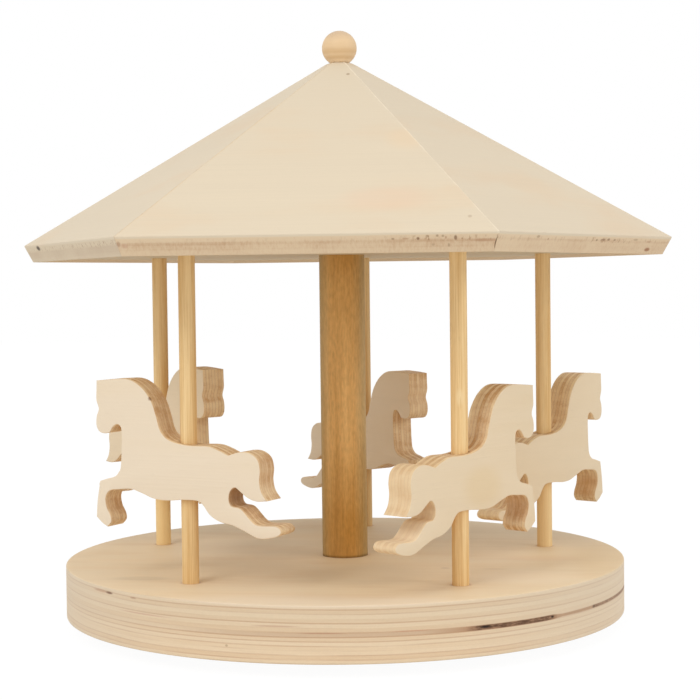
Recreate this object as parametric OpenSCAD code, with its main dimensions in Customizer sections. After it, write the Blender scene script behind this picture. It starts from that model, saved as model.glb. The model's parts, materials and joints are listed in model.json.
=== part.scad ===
// Carousel music box: a plywood carousel that turns on a hidden foot.
// Five riding horses stand on dowels between the base and a six-sided roof.
// Twisting the carousel on its foot winds a small movement inside the base.
// Millimetres, +Z up. The origin is the centre of the underside of the pads.
// The front faces -Y. Angles round the centre run from the front towards +X.

/* [Foot] */
// Diameter of the foot plate that stays still on the table
foot_d = 120; // [112:1:160]
// Thickness of the foot plate
foot_t = 3.5; // [3:0.1:6]
// Diameter of each rubber pad
pad_d = 12; // [8:0.5:16]
// Thickness of each rubber pad
pad_t = 1.5; // [1.2:0.1:2]
// How far each pad stands out below the foot plate
pad_proud = 0.5; // [0.3:0.1:1]
// Radius of the ring of pads
pad_ring_r = 48; // [44:1:50]
// Thickness of the slip ring under the base
slip_t = 0.5; // [0.3:0.1:1]
// Outer diameter of the slip ring
slip_d = 106; // [100:1:110]
// Width of the slip ring
slip_w = 6; // [4:0.5:8]

/* [Base] */
// Diameter of the base disc
base_d = 200; // [190:1:240]
// Thickness of the base disc
base_t = 18.3; // [17.5:0.1:26]
// Height of wood left above the movement pocket
pocket_roof = 4.8; // [4.4:0.1:8]

/* [Column and poles] */
// Diameter of the centre column
column_d = 16.3; // [12:0.1:22]
// Depth of the column's socket in the base
column_seat = 3; // [2:0.5:3.5]
// Depth of the column's socket in the ceiling plate
column_cap = 4; // [2:0.5:5]
// Diameter of each horse pole
pole_d = 5.6; // [4:0.1:6.4]
// Radius of the ring of poles
pole_ring_r = 75.8; // [70:0.1:84]
// Depth of each pole's socket in the base
pole_seat = 8; // [5:0.5:10]
// Depth of each pole's socket in the ceiling plate
pole_cap = 4; // [2:0.5:5]
// Play round a dowel that is glued in its socket
glue_fit = 0.03; // [0.02:0.01:0.1]

/* [Roof] */
// Height of the eaves' lower edge above the base
eave_clear = 107.6; // [95:0.1:130]
// Roof size over opposite corners
roof_across = 235; // [220:1:260]
// Height of the roof's peak above the eaves' upper edge
roof_rise = 66.4; // [50:0.1:90]
// Thickness of the roof panels
panel_t = 6.5; // [5:0.1:8]
// Lean of the eaves' sawn edge from upright
eave_lean = 27; // [20:1:40]
// Width of the glue line between two panels
hip_gap = 0.1; // [0.05:0.05:0.3]
// Half width of the flat under the finial
peak_flat = 3.8; // [3.5:0.1:8]
// Thickness of the ceiling plate
ceiling_t = 6.5; // [6:0.1:9]
// How far the ceiling plate is set up inside the eaves
ceiling_recess = 1; // [0.5:0.1:4]

/* [Finial] */
// Diameter of the wooden ball
ball_d = 12.5; // [11:0.5:20]
// Diameter of the flat that the ball sits on
ball_flat_d = 6.5; // [4:0.5:7]
// Diameter of the dowel pin through the roof's peak
finial_pin_d = 3; // [2:0.1:3.6]
// Length of the dowel pin below the flat
finial_pin_down = 8; // [6:0.5:14]
// Length of the dowel pin up in the ball
finial_pin_up = 8; // [4:0.5:9]

/* [Horses] */
// Length of a horse from the knee to the hind hoof
horse_l = 71.1; // [60:0.1:76]
// Thickness of a horse
horse_t = 9.5; // [8:0.1:12]
// Play round the pole on which a horse turns
horse_fit = 0.05; // [0.02:0.01:0.1]
// Height of horse 1 above the base
horse_1_h = 17.25; // [8:0.25:40]
// Height of horse 2 above the base
horse_2_h = 14; // [8:0.25:40]
// Height of horse 3 above the base
horse_3_h = 13.25; // [8:0.25:40]
// Height of horse 4 above the base
horse_4_h = 13.5; // [8:0.25:40]
// Height of horse 5 above the base
horse_5_h = 18; // [8:0.25:40]
// Heading of horse 1, counterclockwise from +X
horse_1_turn = 159; // [-180:1:180]
// Heading of horse 2, counterclockwise from +X
horse_2_turn = 53; // [-180:1:180]
// Heading of horse 3, counterclockwise from +X
horse_3_turn = 57; // [-180:1:180]
// Heading of horse 4, counterclockwise from +X
horse_4_turn = -45; // [-180:1:180]
// Heading of horse 5, counterclockwise from +X
horse_5_turn = -43; // [-180:1:180]

/* [Movement drive] */
// Thickness of the bedplate
bed_t = 1.2; // [1:0.1:1.6]
// Diameter of the winding arbor
arbor_d = 3; // [2.4:0.1:3.4]
// Diameter of the spring barrel
barrel_d = 19; // [16:0.5:20]
// Height of the spring barrel without its cover
barrel_h = 7.4; // [6:0.1:7.8]
// Wall of the spring barrel
barrel_wall = 0.6; // [0.4:0.1:1]
// Thickness of the barrel cover
cover_t = 0.5; // [0.3:0.1:0.7]
// Turns of the mainspring
spring_turns = 6; // [4:1:8]
// Thickness of the mainspring's strip
spring_strip = 0.35; // [0.2:0.05:0.45]
// Height of the mainspring's strip
spring_h = 5.8; // [4:0.1:6]
// Module of the crown wheel and its pinion
gear_m = 0.5; // [0.48:0.01:0.52]
// Teeth of the crown wheel
crown_z = 48; // [46:1:50]
// Teeth of the cylinder's pinion
pinion_z = 12; // [11:1:13]
// Face width of the crown wheel and the pinion
gear_w = 1.6; // [1.2:0.1:2]
// Thickness of the crown wheel's disc
crown_t = 0.8; // [0.6:0.1:1.2]
// Thickness of the drive hub's flange
hub_t = 1.5; // [1.3:0.1:2]
// Diameter of the drive hub's flange
hub_d = 25; // [24:0.5:26]
// Radius of the ring of hub screws
hub_screw_r = 10; // [9.6:0.1:10.4]

/* [Movement cylinder and comb] */
// Diameter of the pinned cylinder
drum_d = 9; // [8:0.1:9.6]
// Length of the pinned cylinder
drum_l = 15; // [12:0.5:17]
// Height of the pins on the cylinder
pin_h = 0.45; // [0.3:0.05:0.5]
// Diameter of the cylinder's arbor
drum_arbor_d = 1.6; // [1.2:0.1:1.8]
// Number of teeth on the comb
comb_n = 18; // [12:1:20]
// Length of the comb's teeth
tooth_l = 7.5; // [6:0.5:8]
// Depth of the comb's heel
heel_l = 4.5; // [4:0.5:5]
// Thickness of the comb
comb_t = 0.8; // [0.6:0.1:1]

/* [Movement governor] */
// Module of the worm and its wheel
worm_m = 0.3; // [0.3:0.01:0.32]
// Teeth of the worm wheel
wheel_z = 20; // [18:1:22]
// Pitch radius of the worm
worm_r = 1; // [1:0.05:1.2]
// Face width of the worm wheel
wheel_w = 1; // [0.8:0.1:1.2]
// Diameter of the governor's arbor
gov_arbor_d = 0.8; // [0.6:0.1:0.9]
// Reach of the governor's air vanes
fan_r = 2; // [1.6:0.1:2.2]
// Length of the governor's air vanes
fan_l = 5; // [3:0.5:6]

/* [Hidden] */

// Faces of round parts, and of the smallest ones.
$fn = 96;
fine = 32;
// Reach of a cut past the faces that it goes through.
over = 1;

// Colours of the timbers and metals.
ply = "burlywood";
pale = "antiquewhite";
dowel = "sandybrown";
oak = "peru";
brass = "goldenrod";
steel = "silver";

// Counts that the list of nodes fixes.
horses = 5;
panels = 6;
pads = 3;
step = 360 / horses;
heights = [horse_1_h, horse_2_h, horse_3_h, horse_4_h, horse_5_h];
turns = [horse_1_turn, horse_2_turn, horse_3_turn, horse_4_turn, horse_5_turn];

// Running play of a small shaft, and air between parts that pass each other.
run_fit = 0.05;
air = 0.4;

// Heights of the foot and the base.
foot_z = pad_proud;
foot_top = foot_z + foot_t;
base_z = foot_top + slip_t;
deck = base_z + base_t;
pocket_top = deck - pocket_roof;

// The movement stacks up from the bedplate: governor, cylinder, crown wheel.
bed_top = foot_top + bed_t;
vane_air = 0.3;
gov_z = bed_top + fan_r + vane_air;
wheel_r = worm_m * wheel_z / 2;
drum_z = gov_z + worm_r + wheel_r;
pinion_r = gear_m * pinion_z / 2;
crown_r = gear_m * crown_z / 2;
crown_pitch_z = drum_z + pinion_r;
addendum = 0.9 * gear_m;
dedendum = 1.2 * gear_m;
pressure = 20;
crown_share = 0.40;
pinion_share = 0.36;
worm_share = 0.30;
crown_z0 = crown_pitch_z + dedendum;
hub_z0 = pocket_top - hub_t;

// The movement's length, from the crown wheel out to the last bracket.
bracket_t = 1;
bed_rim = 1.5;
worm_addendum = 0.9 * worm_m;
worm_dedendum = 1.15 * worm_m;
bracket_x = crown_r + gear_w / 2 + air;
drum_x = bracket_x + bracket_t + air;
wheel_x = drum_x + drum_l + air + worm_r + worm_addendum;
end_bracket_x = wheel_x + worm_r + worm_addendum + air;
bed_r = end_bracket_x + bracket_t + bed_rim;
pocket_r = bed_r + bed_rim;
bracket_w = 5;
bearing_wall = 0.9;

// The comb lies level with the cylinder's axis, clear of its pins.
comb_air = 0.15;
comb_y = -(drum_d / 2 + pin_h + comb_air);
heel_y = comb_y - tooth_l;
comb_screw_y = heel_y - heel_l / 2;
comb_z0 = drum_z - comb_t / 2;
comb_screw_d = 1.6;
comb_screw_inset = 4;
comb_screw_x = [drum_x + comb_screw_inset, drum_x + drum_l - comb_screw_inset];
comb_head_h = 1;
comb_screw_down = 4.5;

// The governor's arbor runs along Y beside the cylinder's end.
worm_pitch = PI * worm_m;
worm_turns = 5;
worm_half = worm_pitch * worm_turns / 2;
core_over = 0.6;
fan_gap = 2.4;
gov_y0 = -(worm_half + core_over + air + bracket_t);
fan_y = worm_half + core_over + fan_gap;
gov_y1 = fan_y + fan_l + air + bracket_t;
gov_bracket_w = 2.4;

// Bedplate outline and the three screws that hold it to the foot plate.
screw_land = 6;
bed_x0 = -(barrel_d / 2 + screw_land);
bed_y0 = heel_y - heel_l - bed_rim;
bed_y1 = gov_y1 + bed_rim;
screw_d = 2.6;
screw_head_d = 5;
screw_head_h = 1.2;
screw_boss_h = 1.8;
screw_boss_wall = 1;
screw_inset = 3.5;
screw_past_drum = 4.4;
screw_spots = [[bed_x0 + screw_inset, bed_y1 - screw_inset],
    [bed_x0 + screw_inset, -bed_y1 + screw_inset],
    [drum_x + drum_l / 2, screw_past_drum - comb_y]];

// Winding arbor, its clip and the recess that takes them in the foot plate.
clip_t = 0.5;
clip_d = 6;
clip_air = 0.3;
clip_room = 1.5;
groove = 0.3;
arbor_tail = 1;
clip_top = foot_top - clip_air;
arbor_z0 = clip_top - clip_t - arbor_tail;
foot_recess_d = clip_d + 2 * clip_room;
foot_recess_z = arbor_z0 - air;
barrel_play = 0.3;
crown_boss_d = 7;
hub_screw_d = 2;
hub_head_d = 3.8;
hub_head_h = 1;
hub_screw_skin = 1.5;
hub_screw_up = pocket_roof - hub_screw_skin;
hub_screw_n = 3;

// Roof: the radial section of one panel, from its eave to the peak.
corner = 180 / panels;
eave_a = roof_across / 2 * cos(corner);
pitch = atan(roof_rise / eave_a);
eave_face = panel_t / cos(pitch - eave_lean);
eave_low = deck + eave_clear;
eave_top = eave_low + eave_face * cos(eave_lean);
peak = eave_top + roof_rise;
under_peak = peak - panel_t / cos(pitch);
flat_z = peak - peak_flat * tan(pitch);
eave_low_a = eave_a - eave_face * sin(eave_lean);
ceiling_z = eave_low + ceiling_recess;
ball_z = flat_z + sqrt(pow(ball_d / 2, 2) - pow(ball_flat_d / 2, 2));
function under_roof(z) = (under_peak - z) / tan(pitch);

// Horse outline, [forward, up, corner?] in millimetres on a full-size horse.
// The pole is at 0 forward, and 0 up is the underside of the hind hoof.
outline = [[33.3, 49.7, 1], [27, 50.2, 0], [20.3, 50.2, 0], [15.2, 47.6, 0], [11.6, 43.2, 0],
    [9.6, 38, 0], [8.2, 33.6, 0], [5.6, 30.9, 0], [1.5, 29.5, 0], [-3.5, 28.9, 0],
    [-10, 28.9, 0], [-14, 27.8, 0], [-17.7, 26.2, 1], [-22, 27.4, 0], [-25.8, 27.2, 0],
    [-28.7, 25.2, 0], [-29.6, 21.8, 0], [-29.3, 18.2, 0], [-30, 14.8, 0], [-32, 12, 1],
    [-28, 11.8, 0], [-24.8, 12.8, 0], [-22.2, 14.6, 0], [-20.1, 15.9, 0], [-18.4, 14.6, 0],
    [-17.8, 12, 0], [-18.8, 9.8, 0], [-22.3, 9, 0], [-26.3, 5.2, 0], [-29, 4, 0],
    [-35, 4.1, 0], [-37, 2.7, 0], [-36, 1.1, 0], [-32, 0, 0], [-28.2, 0, 0],
    [-23.5, 1.9, 0], [-19, 3.6, 0], [-14.4, 4.5, 0], [-10.6, 6.5, 0], [-8, 9.6, 0],
    [-5.8, 10.9, 0], [0, 11, 0], [6, 10.5, 0], [11, 10.9, 0], [16, 12.6, 0],
    [20, 13.7, 0], [24.5, 13.4, 0], [28.6, 12.8, 0], [30.3, 10.4, 0], [29.9, 7.2, 0],
    [28.5, 4.6, 0], [28.2, 2.4, 0], [29.7, 0.6, 1], [31.8, 1.8, 0], [34.1, 3.8, 1],
    [33.7, 9, 0], [32.5, 15.9, 1], [29.5, 16.8, 0], [26.4, 17.7, 0], [24.5, 19.6, 0],
    [23.9, 22.6, 0], [23.6, 28, 0], [23.5, 32.3, 0], [23.9, 34.4, 0], [25.2, 35.2, 0],
    [26.8, 34.4, 0], [28.2, 32.4, 1], [30.4, 32, 0], [32.5, 32.6, 0], [33.6, 34.6, 0],
    [33.5, 37.6, 0], [32.6, 40.2, 0], [33.5, 43.2, 0], [33.4, 46.5, 0]];
curve_steps = 4;
reach = [for (p = outline) p[0]];
horse_k = horse_l / (max(reach) - min(reach));

// Hermite curve through the outline's points, with straight ends at corners.
function spot(i) = let(p = outline[(i + len(outline)) % len(outline)]) [p[0], p[1]];
function is_corner(i) = outline[(i + len(outline)) % len(outline)][2] == 1;
function slope(i, from) = is_corner(i) ? spot(from + 1) - spot(from) : (spot(i + 1) - spot(i - 1)) / 2;
function curve(i, u) =
    (2 * pow(u, 3) - 3 * pow(u, 2) + 1) * spot(i)
    + (pow(u, 3) - 2 * pow(u, 2) + u) * slope(i, i)
    + (3 * pow(u, 2) - 2 * pow(u, 3)) * spot(i + 1)
    + (pow(u, 3) - pow(u, 2)) * slope(i + 1, i);
horse_points = [for (i = [0 : len(outline) - 1], k = [0 : curve_steps - 1])
    horse_k * curve(i, k / curve_steps)];

// Puts a child out from the centre, at an angle from the front towards +X.
module around(angle, r) {
    rotate([0, 0, angle]) translate([0, -r, 0]) children();
}

// Lays a child that stands up along Z along +X, at the cylinder's height.
module along_drum(x) {
    translate([x, 0, drum_z]) rotate([0, 90, 0]) children();
}

// Lays a child that stands up along Z along +Y, on the governor's axis.
module along_governor(y) {
    translate([wheel_x, y, gov_z]) rotate([-90, 0, 0]) children();
}

// The space of a rod of diameter d with play round it, from z0 up.
module bore(d, play, z0, h) {
    translate([0, 0, z0]) cylinder(h = h, d = d + 2 * play, $fn = fine);
}

// A screw that points up, with a sunk head whose wide face is at z = 0.
module sunk_screw(d, length, head_d, head_h) {
    cylinder(h = head_h, d1 = head_d, d2 = d, $fn = fine);
    cylinder(h = length, d = d, $fn = fine);
}

// A straight-sided tooth: its pitch line is at x = 0, its tip points along +X and
// its foot reaches below the pitch line.
module tooth(thick, tip, foot) {
    polygon([[tip, -thick / 2 + tip * tan(pressure)], [tip, thick / 2 - tip * tan(pressure)],
        [-foot, thick / 2 + foot * tan(pressure)], [-foot, -thick / 2 - foot * tan(pressure)]]);
}

// A toothed wheel, with a gap instead of a tooth on the X axis if odd is true.
module toothed(z, m, add, ded, share, width, odd) {
    r = m * z / 2;
    linear_extrude(width) union() {
        circle(r = r - ded);
        for (i = [0 : z - 1])
            rotate(360 / z * (i + (odd ? 0.5 : 0))) translate([r, 0])
                tooth(share * PI * m, add, 2 * ded);
    }
}

// ---- Foot: stays still on the table ----

module foot_plate() {
    color(ply) difference() {
        translate([0, 0, foot_z]) cylinder(h = foot_t, d = foot_d);
        for (i = [0 : pads - 1])
            around(360 / pads * i, pad_ring_r) bore(pad_d, glue_fit, -over, over + pad_t);
        bore(foot_recess_d, 0, foot_recess_z, foot_t + over);
        for (p = screw_spots) translate([p[0], p[1], foot_z]) {
            sunk_screw(screw_d + 2 * glue_fit, foot_t + over, screw_head_d + 2 * glue_fit, screw_head_h);
            bore(screw_head_d, glue_fit, -over, over);
        }
    }
}

module foot_pads() {
    color("dimgray") for (i = [0 : pads - 1])
        around(360 / pads * i, pad_ring_r) cylinder(h = pad_t, d = pad_d, $fn = fine);
}

module slip_ring() {
    color("white") translate([0, 0, foot_top]) difference() {
        cylinder(h = slip_t, d = slip_d);
        translate([0, 0, -over]) cylinder(h = slip_t + 2 * over, d = slip_d - 2 * slip_w);
    }
}

// ---- Carousel: base, column, poles and roof ----

module base_disc() {
    color(ply) difference() {
        translate([0, 0, base_z]) cylinder(h = base_t, d = base_d, $fn = 180);
        translate([0, 0, base_z - over]) cylinder(h = pocket_top - base_z + over, r = pocket_r);
        translate([0, 0, deck - column_seat]) cylinder(h = column_seat + over, d = column_d + 2 * glue_fit);
        for (i = [0 : horses - 1])
            around(step * (i - 0.5), pole_ring_r) bore(pole_d, glue_fit, deck - pole_seat, pole_seat + over);
        for (i = [0 : hub_screw_n - 1])
            around(360 / hub_screw_n * i, hub_screw_r)
                bore(hub_screw_d, glue_fit, pocket_top - over, over + hub_screw_up);
    }
}

module centre_column() {
    z0 = deck - column_seat;
    color(oak) translate([0, 0, z0]) cylinder(h = ceiling_z + column_cap - z0, d = column_d);
}

module pole(i) {
    z0 = deck - pole_seat;
    color(dowel) around(step * (i - 1.5), pole_ring_r) translate([0, 0, z0])
        cylinder(h = ceiling_z + pole_cap - z0, d = pole_d, $fn = fine);
}

module horse(i) {
    color(pale) around(step * (i - 1.5), pole_ring_r) translate([0, 0, deck + heights[i - 1]])
        rotate([0, 0, turns[i - 1] - step * (i - 1.5)]) difference() {
            rotate([90, 0, 0]) linear_extrude(horse_t, center = true) polygon(horse_points);
            cylinder(h = horse_l, d = pole_d + 2 * horse_fit, $fn = fine);
        }
}

// The ceiling plate fills the hexagon under the panels, with the same slope.
module ceiling_plate() {
    low = under_roof(ceiling_z) - glue_fit;
    high = under_roof(ceiling_z + ceiling_t) - glue_fit;
    color(ply) difference() {
        translate([0, 0, ceiling_z]) intersection_for (i = [0 : panels / 2 - 1])
            rotate([0, 0, 2 * corner * i]) rotate([90, 0, 90])
                linear_extrude(roof_across, center = true)
                    polygon([[-low, 0], [low, 0], [high, ceiling_t], [-high, ceiling_t]]);
        translate([0, 0, ceiling_z - over]) cylinder(h = over + column_cap, d = column_d + 2 * glue_fit);
        for (i = [0 : horses - 1])
            around(step * (i - 0.5), pole_ring_r) bore(pole_d, glue_fit, ceiling_z - over, over + pole_cap);
    }
}

// One roof panel: a sloping slab, mitred along the two hips.
module roof_panel(i) {
    wide = roof_across * tan(corner);
    color(pale) rotate([0, 0, 2 * corner * (i - 1)]) difference() {
        intersection() {
            rotate([90, 0, -90]) linear_extrude(roof_across, center = true)
                polygon([[eave_low_a, eave_low], [eave_a, eave_top], [peak_flat, flat_z],
                    [0, flat_z], [0, under_peak]]);
            translate([0, -hip_gap, eave_low - over]) linear_extrude(peak)
                polygon([[0, 0], [-wide, -roof_across], [wide, -roof_across]]);
        }
        bore(finial_pin_d, glue_fit, eave_low, peak);
    }
}

module finial_ball() {
    color(dowel) difference() {
        translate([0, 0, ball_z]) sphere(d = ball_d, $fn = 48);
        translate([-ball_d, -ball_d, flat_z - ball_d]) cube([2 * ball_d, 2 * ball_d, ball_d]);
        bore(finial_pin_d, glue_fit, flat_z - over, over + finial_pin_up);
    }
}

module finial_pin() {
    color(dowel) translate([0, 0, flat_z - finial_pin_down])
        cylinder(h = finial_pin_down + finial_pin_up, d = finial_pin_d, $fn = fine);
}

// ---- Movement: the still parts on the bedplate ----

// An upright with a bearing for a shaft that lies along Z of its own frame.
module bearing(x, y, sx, sy, shaft_z) {
    translate([x, y, foot_top]) cube([sx, sy, shaft_z - foot_top + bearing_wall + drum_arbor_d / 2]);
}

module bedplate() {
    color(steel) difference() {
        union() {
            translate([0, 0, foot_top]) intersection() {
                cylinder(h = bed_t, r = bed_r);
                translate([bed_x0, bed_y0, 0]) cube([bed_r - bed_x0, bed_y1 - bed_y0, bed_t]);
            }
            for (p = screw_spots) translate([p[0], p[1], foot_top])
                cylinder(h = bed_t + screw_boss_h, d = screw_d + 2 * screw_boss_wall, $fn = fine);
            bearing(bracket_x, -bracket_w / 2, bracket_t, bracket_w, drum_z);
            bearing(end_bracket_x, -bracket_w / 2, bracket_t, bracket_w, drum_z);
            bearing(wheel_x - gov_bracket_w / 2, gov_y0, gov_bracket_w, bracket_t, gov_z);
            bearing(wheel_x - gov_bracket_w / 2, gov_y1 - bracket_t, gov_bracket_w, bracket_t, gov_z);
            translate([drum_x, heel_y - heel_l, foot_top]) cube([drum_l, heel_l, comb_z0 - foot_top]);
        }
        bore(arbor_d, run_fit, foot_top - over, bed_t + 2 * over);
        along_drum(crown_r) bore(drum_arbor_d, run_fit, 0, bed_r);
        along_governor(gov_y0) bore(gov_arbor_d, run_fit, -over, gov_y1 - gov_y0 + 2 * over);
        for (p = screw_spots) translate([p[0], p[1], foot_top])
            bore(screw_d, glue_fit, -over, bed_t + screw_boss_h + 2 * over);
        for (x = comb_screw_x) translate([x, comb_screw_y, comb_z0])
            bore(comb_screw_d, glue_fit, -comb_screw_down, comb_screw_down + over);
    }
}

module movement_screws() {
    color(steel) for (p = screw_spots)
        translate([p[0], p[1], foot_z])
            sunk_screw(screw_d, foot_t + bed_t + screw_boss_h, screw_head_d, screw_head_h);
}

module spring_barrel() {
    color(brass) translate([0, 0, bed_top]) difference() {
        cylinder(h = barrel_h, d = barrel_d);
        translate([0, 0, barrel_wall]) cylinder(h = barrel_h, d = barrel_d - 2 * barrel_wall);
        bore(arbor_d, barrel_play, -over, barrel_h);
    }
}

module barrel_cover() {
    color(brass) translate([0, 0, bed_top + barrel_h]) difference() {
        cylinder(h = cover_t, d = barrel_d);
        bore(arbor_d, barrel_play, -over, cover_t + 2 * over);
    }
}

// A flat spiral that fills the barrel from the arbor to the wall.
module mainspring() {
    r0 = arbor_d / 2 + barrel_play + spring_strip / 2;
    r1 = barrel_d / 2 - barrel_wall - barrel_play / 2 - spring_strip / 2;
    per_turn = 24;
    steps = per_turn * spring_turns;
    function at(k, side) =
        let(a = 360 * k / per_turn, r = r0 + (r1 - r0) * k / steps + side * spring_strip / 2)
        [r * cos(a), r * sin(a)];
    color("slategray") translate([0, 0, bed_top + barrel_wall]) linear_extrude(spring_h)
        polygon(concat([for (k = [0 : steps]) at(k, 1)], [for (k = [steps : -1 : 0]) at(k, -1)]));
}

module comb() {
    pitch_x = drum_l / comb_n;
    slot_share = 0.3;
    slot = pitch_x * slot_share;
    color(steel) translate([drum_x, heel_y - heel_l, comb_z0]) difference() {
        cube([drum_l, heel_l + tooth_l, comb_t]);
        for (i = [1 : comb_n - 1])
            translate([i * pitch_x - slot / 2, heel_l, -over])
                cube([slot, tooth_l + over, comb_t + 2 * over]);
        for (x = comb_screw_x)
            translate([x - drum_x, heel_l / 2, 0]) bore(comb_screw_d, glue_fit, -over, comb_t + 2 * over);
    }
}

module comb_screws() {
    head_d = 2 * comb_screw_d;
    length = comb_screw_down + comb_t + comb_head_h;
    color(brass) for (x = comb_screw_x) translate([x, comb_screw_y, comb_z0 - comb_screw_down]) {
        cylinder(h = length, d = comb_screw_d, $fn = fine);
        translate([0, 0, length - comb_head_h]) cylinder(h = comb_head_h, d = head_d, $fn = fine);
    }
}

// ---- Movement: what turns with the carousel ----

module winding_arbor() {
    color(steel) difference() {
        translate([0, 0, arbor_z0]) cylinder(h = pocket_top - arbor_z0, d = arbor_d, $fn = fine);
        translate([0, 0, clip_top - clip_t]) difference() {
            cylinder(h = clip_t, d = arbor_d + over, $fn = fine);
            cylinder(h = clip_t, d = arbor_d - 2 * groove, $fn = fine);
        }
    }
}

module retaining_clip() {
    inner = arbor_d - 2 * groove + 2 * glue_fit;
    slot_share = 0.7;
    slot = inner * slot_share;
    color(steel) translate([0, 0, clip_top - clip_t]) difference() {
        cylinder(h = clip_t, d = clip_d, $fn = fine);
        bore(inner, 0, -over, clip_t + 2 * over);
        translate([0, -slot / 2, -over]) cube([clip_d, slot, clip_t + 2 * over]);
    }
}

// The crown wheel's teeth point down on to the cylinder's pinion.
module crown_wheel() {
    foot = dedendum + crown_t / 4;
    rim = 0.3;
    color(brass) difference() {
        union() {
            translate([0, 0, crown_z0]) cylinder(h = crown_t, r = crown_r + gear_w / 2 + rim);
            translate([0, 0, crown_z0]) cylinder(h = hub_z0 - crown_z0, d = crown_boss_d, $fn = fine);
            for (i = [0 : crown_z - 1])
                rotate([0, 0, 360 / crown_z * i]) translate([crown_r - gear_w / 2, 0, crown_pitch_z])
                    rotate([90, 0, 90]) linear_extrude(gear_w)
                        rotate(-90) tooth(crown_share * PI * gear_m, addendum, foot);
        }
        bore(arbor_d, glue_fit, crown_z0 - over, hub_z0 - crown_z0 + 2 * over);
    }
}

module drive_hub() {
    color(brass) difference() {
        translate([0, 0, hub_z0]) cylinder(h = hub_t, d = hub_d);
        bore(arbor_d, glue_fit, hub_z0 - over, hub_t + 2 * over);
        for (i = [0 : hub_screw_n - 1]) around(360 / hub_screw_n * i, hub_screw_r) translate([0, 0, hub_z0]) {
            sunk_screw(hub_screw_d + 2 * glue_fit, hub_t + over, hub_head_d + 2 * glue_fit, hub_head_h);
            bore(hub_head_d, glue_fit, -over, over);
        }
    }
}

module hub_screws() {
    color(steel) for (i = [0 : hub_screw_n - 1]) around(360 / hub_screw_n * i, hub_screw_r)
        translate([0, 0, hub_z0]) sunk_screw(hub_screw_d, hub_t + hub_screw_up, hub_head_d, hub_head_h);
}

// ---- Movement: the cylinder, geared to the crown wheel ----

// Pins stand in one row per comb tooth, at angles that no two rows share.
module pin_cylinder() {
    pins_per_row = 3;
    pin_d = 0.4;
    twist = 37;
    drift = 11;
    color(brass) difference() {
        union() {
            along_drum(drum_x) cylinder(h = drum_l, d = drum_d);
            for (i = [0 : comb_n - 1], k = [0 : pins_per_row - 1])
                translate([drum_x + (i + 0.5) * drum_l / comb_n, 0, drum_z])
                    rotate([360 / pins_per_row * k + (twist + drift * k) * i, 0, 0])
                        translate([0, 0, drum_d / 4])
                            cylinder(h = drum_d / 4 + pin_h, d = pin_d, $fn = fine / 2);
        }
        along_drum(drum_x) bore(drum_arbor_d, glue_fit, -over, drum_l + 2 * over);
    }
}

module cylinder_arbor() {
    x0 = crown_r - gear_w / 2;
    color(steel) along_drum(x0) cylinder(h = end_bracket_x + bracket_t - x0, d = drum_arbor_d, $fn = fine);
}

module cylinder_pinion() {
    color(brass) difference() {
        along_drum(crown_r - gear_w / 2)
            toothed(pinion_z, gear_m, addendum, dedendum, pinion_share, gear_w, true);
        along_drum(0) bore(drum_arbor_d, glue_fit, 0, bed_r);
    }
}

module worm_wheel() {
    color(brass) difference() {
        along_drum(wheel_x - wheel_w / 2)
            toothed(wheel_z, worm_m, worm_addendum, worm_dedendum, worm_share, wheel_w, false);
        along_drum(0) bore(drum_arbor_d, glue_fit, 0, bed_r);
    }
}

// ---- Movement: the governor, which the worm wheel spins ----

// A right-hand thread swept round a core, as one ring of four points per step.
// The thread's flats clear the round core by a hair.
module governor_worm() {
    per_turn = 16;
    steps = per_turn * worm_turns;
    thick = worm_share * worm_pitch;
    core_r = worm_r - worm_dedendum;
    r_in = core_r / cos(180 / per_turn) + glue_fit / 3;
    r_out = worm_r + worm_addendum;
    half_in = thick / 2 + (worm_r - r_in) * tan(pressure);
    half_out = thick / 2 - (r_out - worm_r) * tan(pressure);
    ring = [[r_in, -half_in], [r_out, -half_out], [r_out, half_out], [r_in, half_in]];
    points = [for (k = [0 : steps], q = ring)
        let(a = 360 * k / per_turn)
        [q[0] * cos(a), q[0] * sin(a), q[1] + worm_pitch * (k / per_turn - worm_turns / 2)]];
    sides = [for (k = [0 : steps - 1], j = [0 : 3])
        let(a = 4 * k + j, b = 4 * k + (j + 1) % 4) each [[a, b, b + 4], [a, b + 4, a + 4]]];
    ends = [[3, 2, 1, 0], [for (j = [0 : 3]) 4 * steps + j]];
    color(steel) along_governor(0) {
        rotate([0, 0, -90]) polyhedron(points, concat(sides, ends));
        difference() {
            cylinder(h = 2 * (worm_half + core_over), r = core_r, center = true, $fn = fine);
            cylinder(h = 2 * (worm_half + over), d = gov_arbor_d + 2 * glue_fit, center = true, $fn = fine);
        }
    }
}

module governor_arbor() {
    color(steel) along_governor(gov_y0) cylinder(h = gov_y1 - gov_y0, d = gov_arbor_d, $fn = fine);
}

module governor_fan() {
    vane_t = 0.3;
    color(brass) along_governor(fan_y) difference() {
        union() {
            cylinder(h = fan_l, d = 2 * gov_arbor_d, $fn = fine);
            translate([-fan_r, -vane_t / 2, 0]) cube([2 * fan_r, vane_t, fan_l]);
        }
        bore(gov_arbor_d, glue_fit, -over, fan_l + 2 * over);
    }
}

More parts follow.
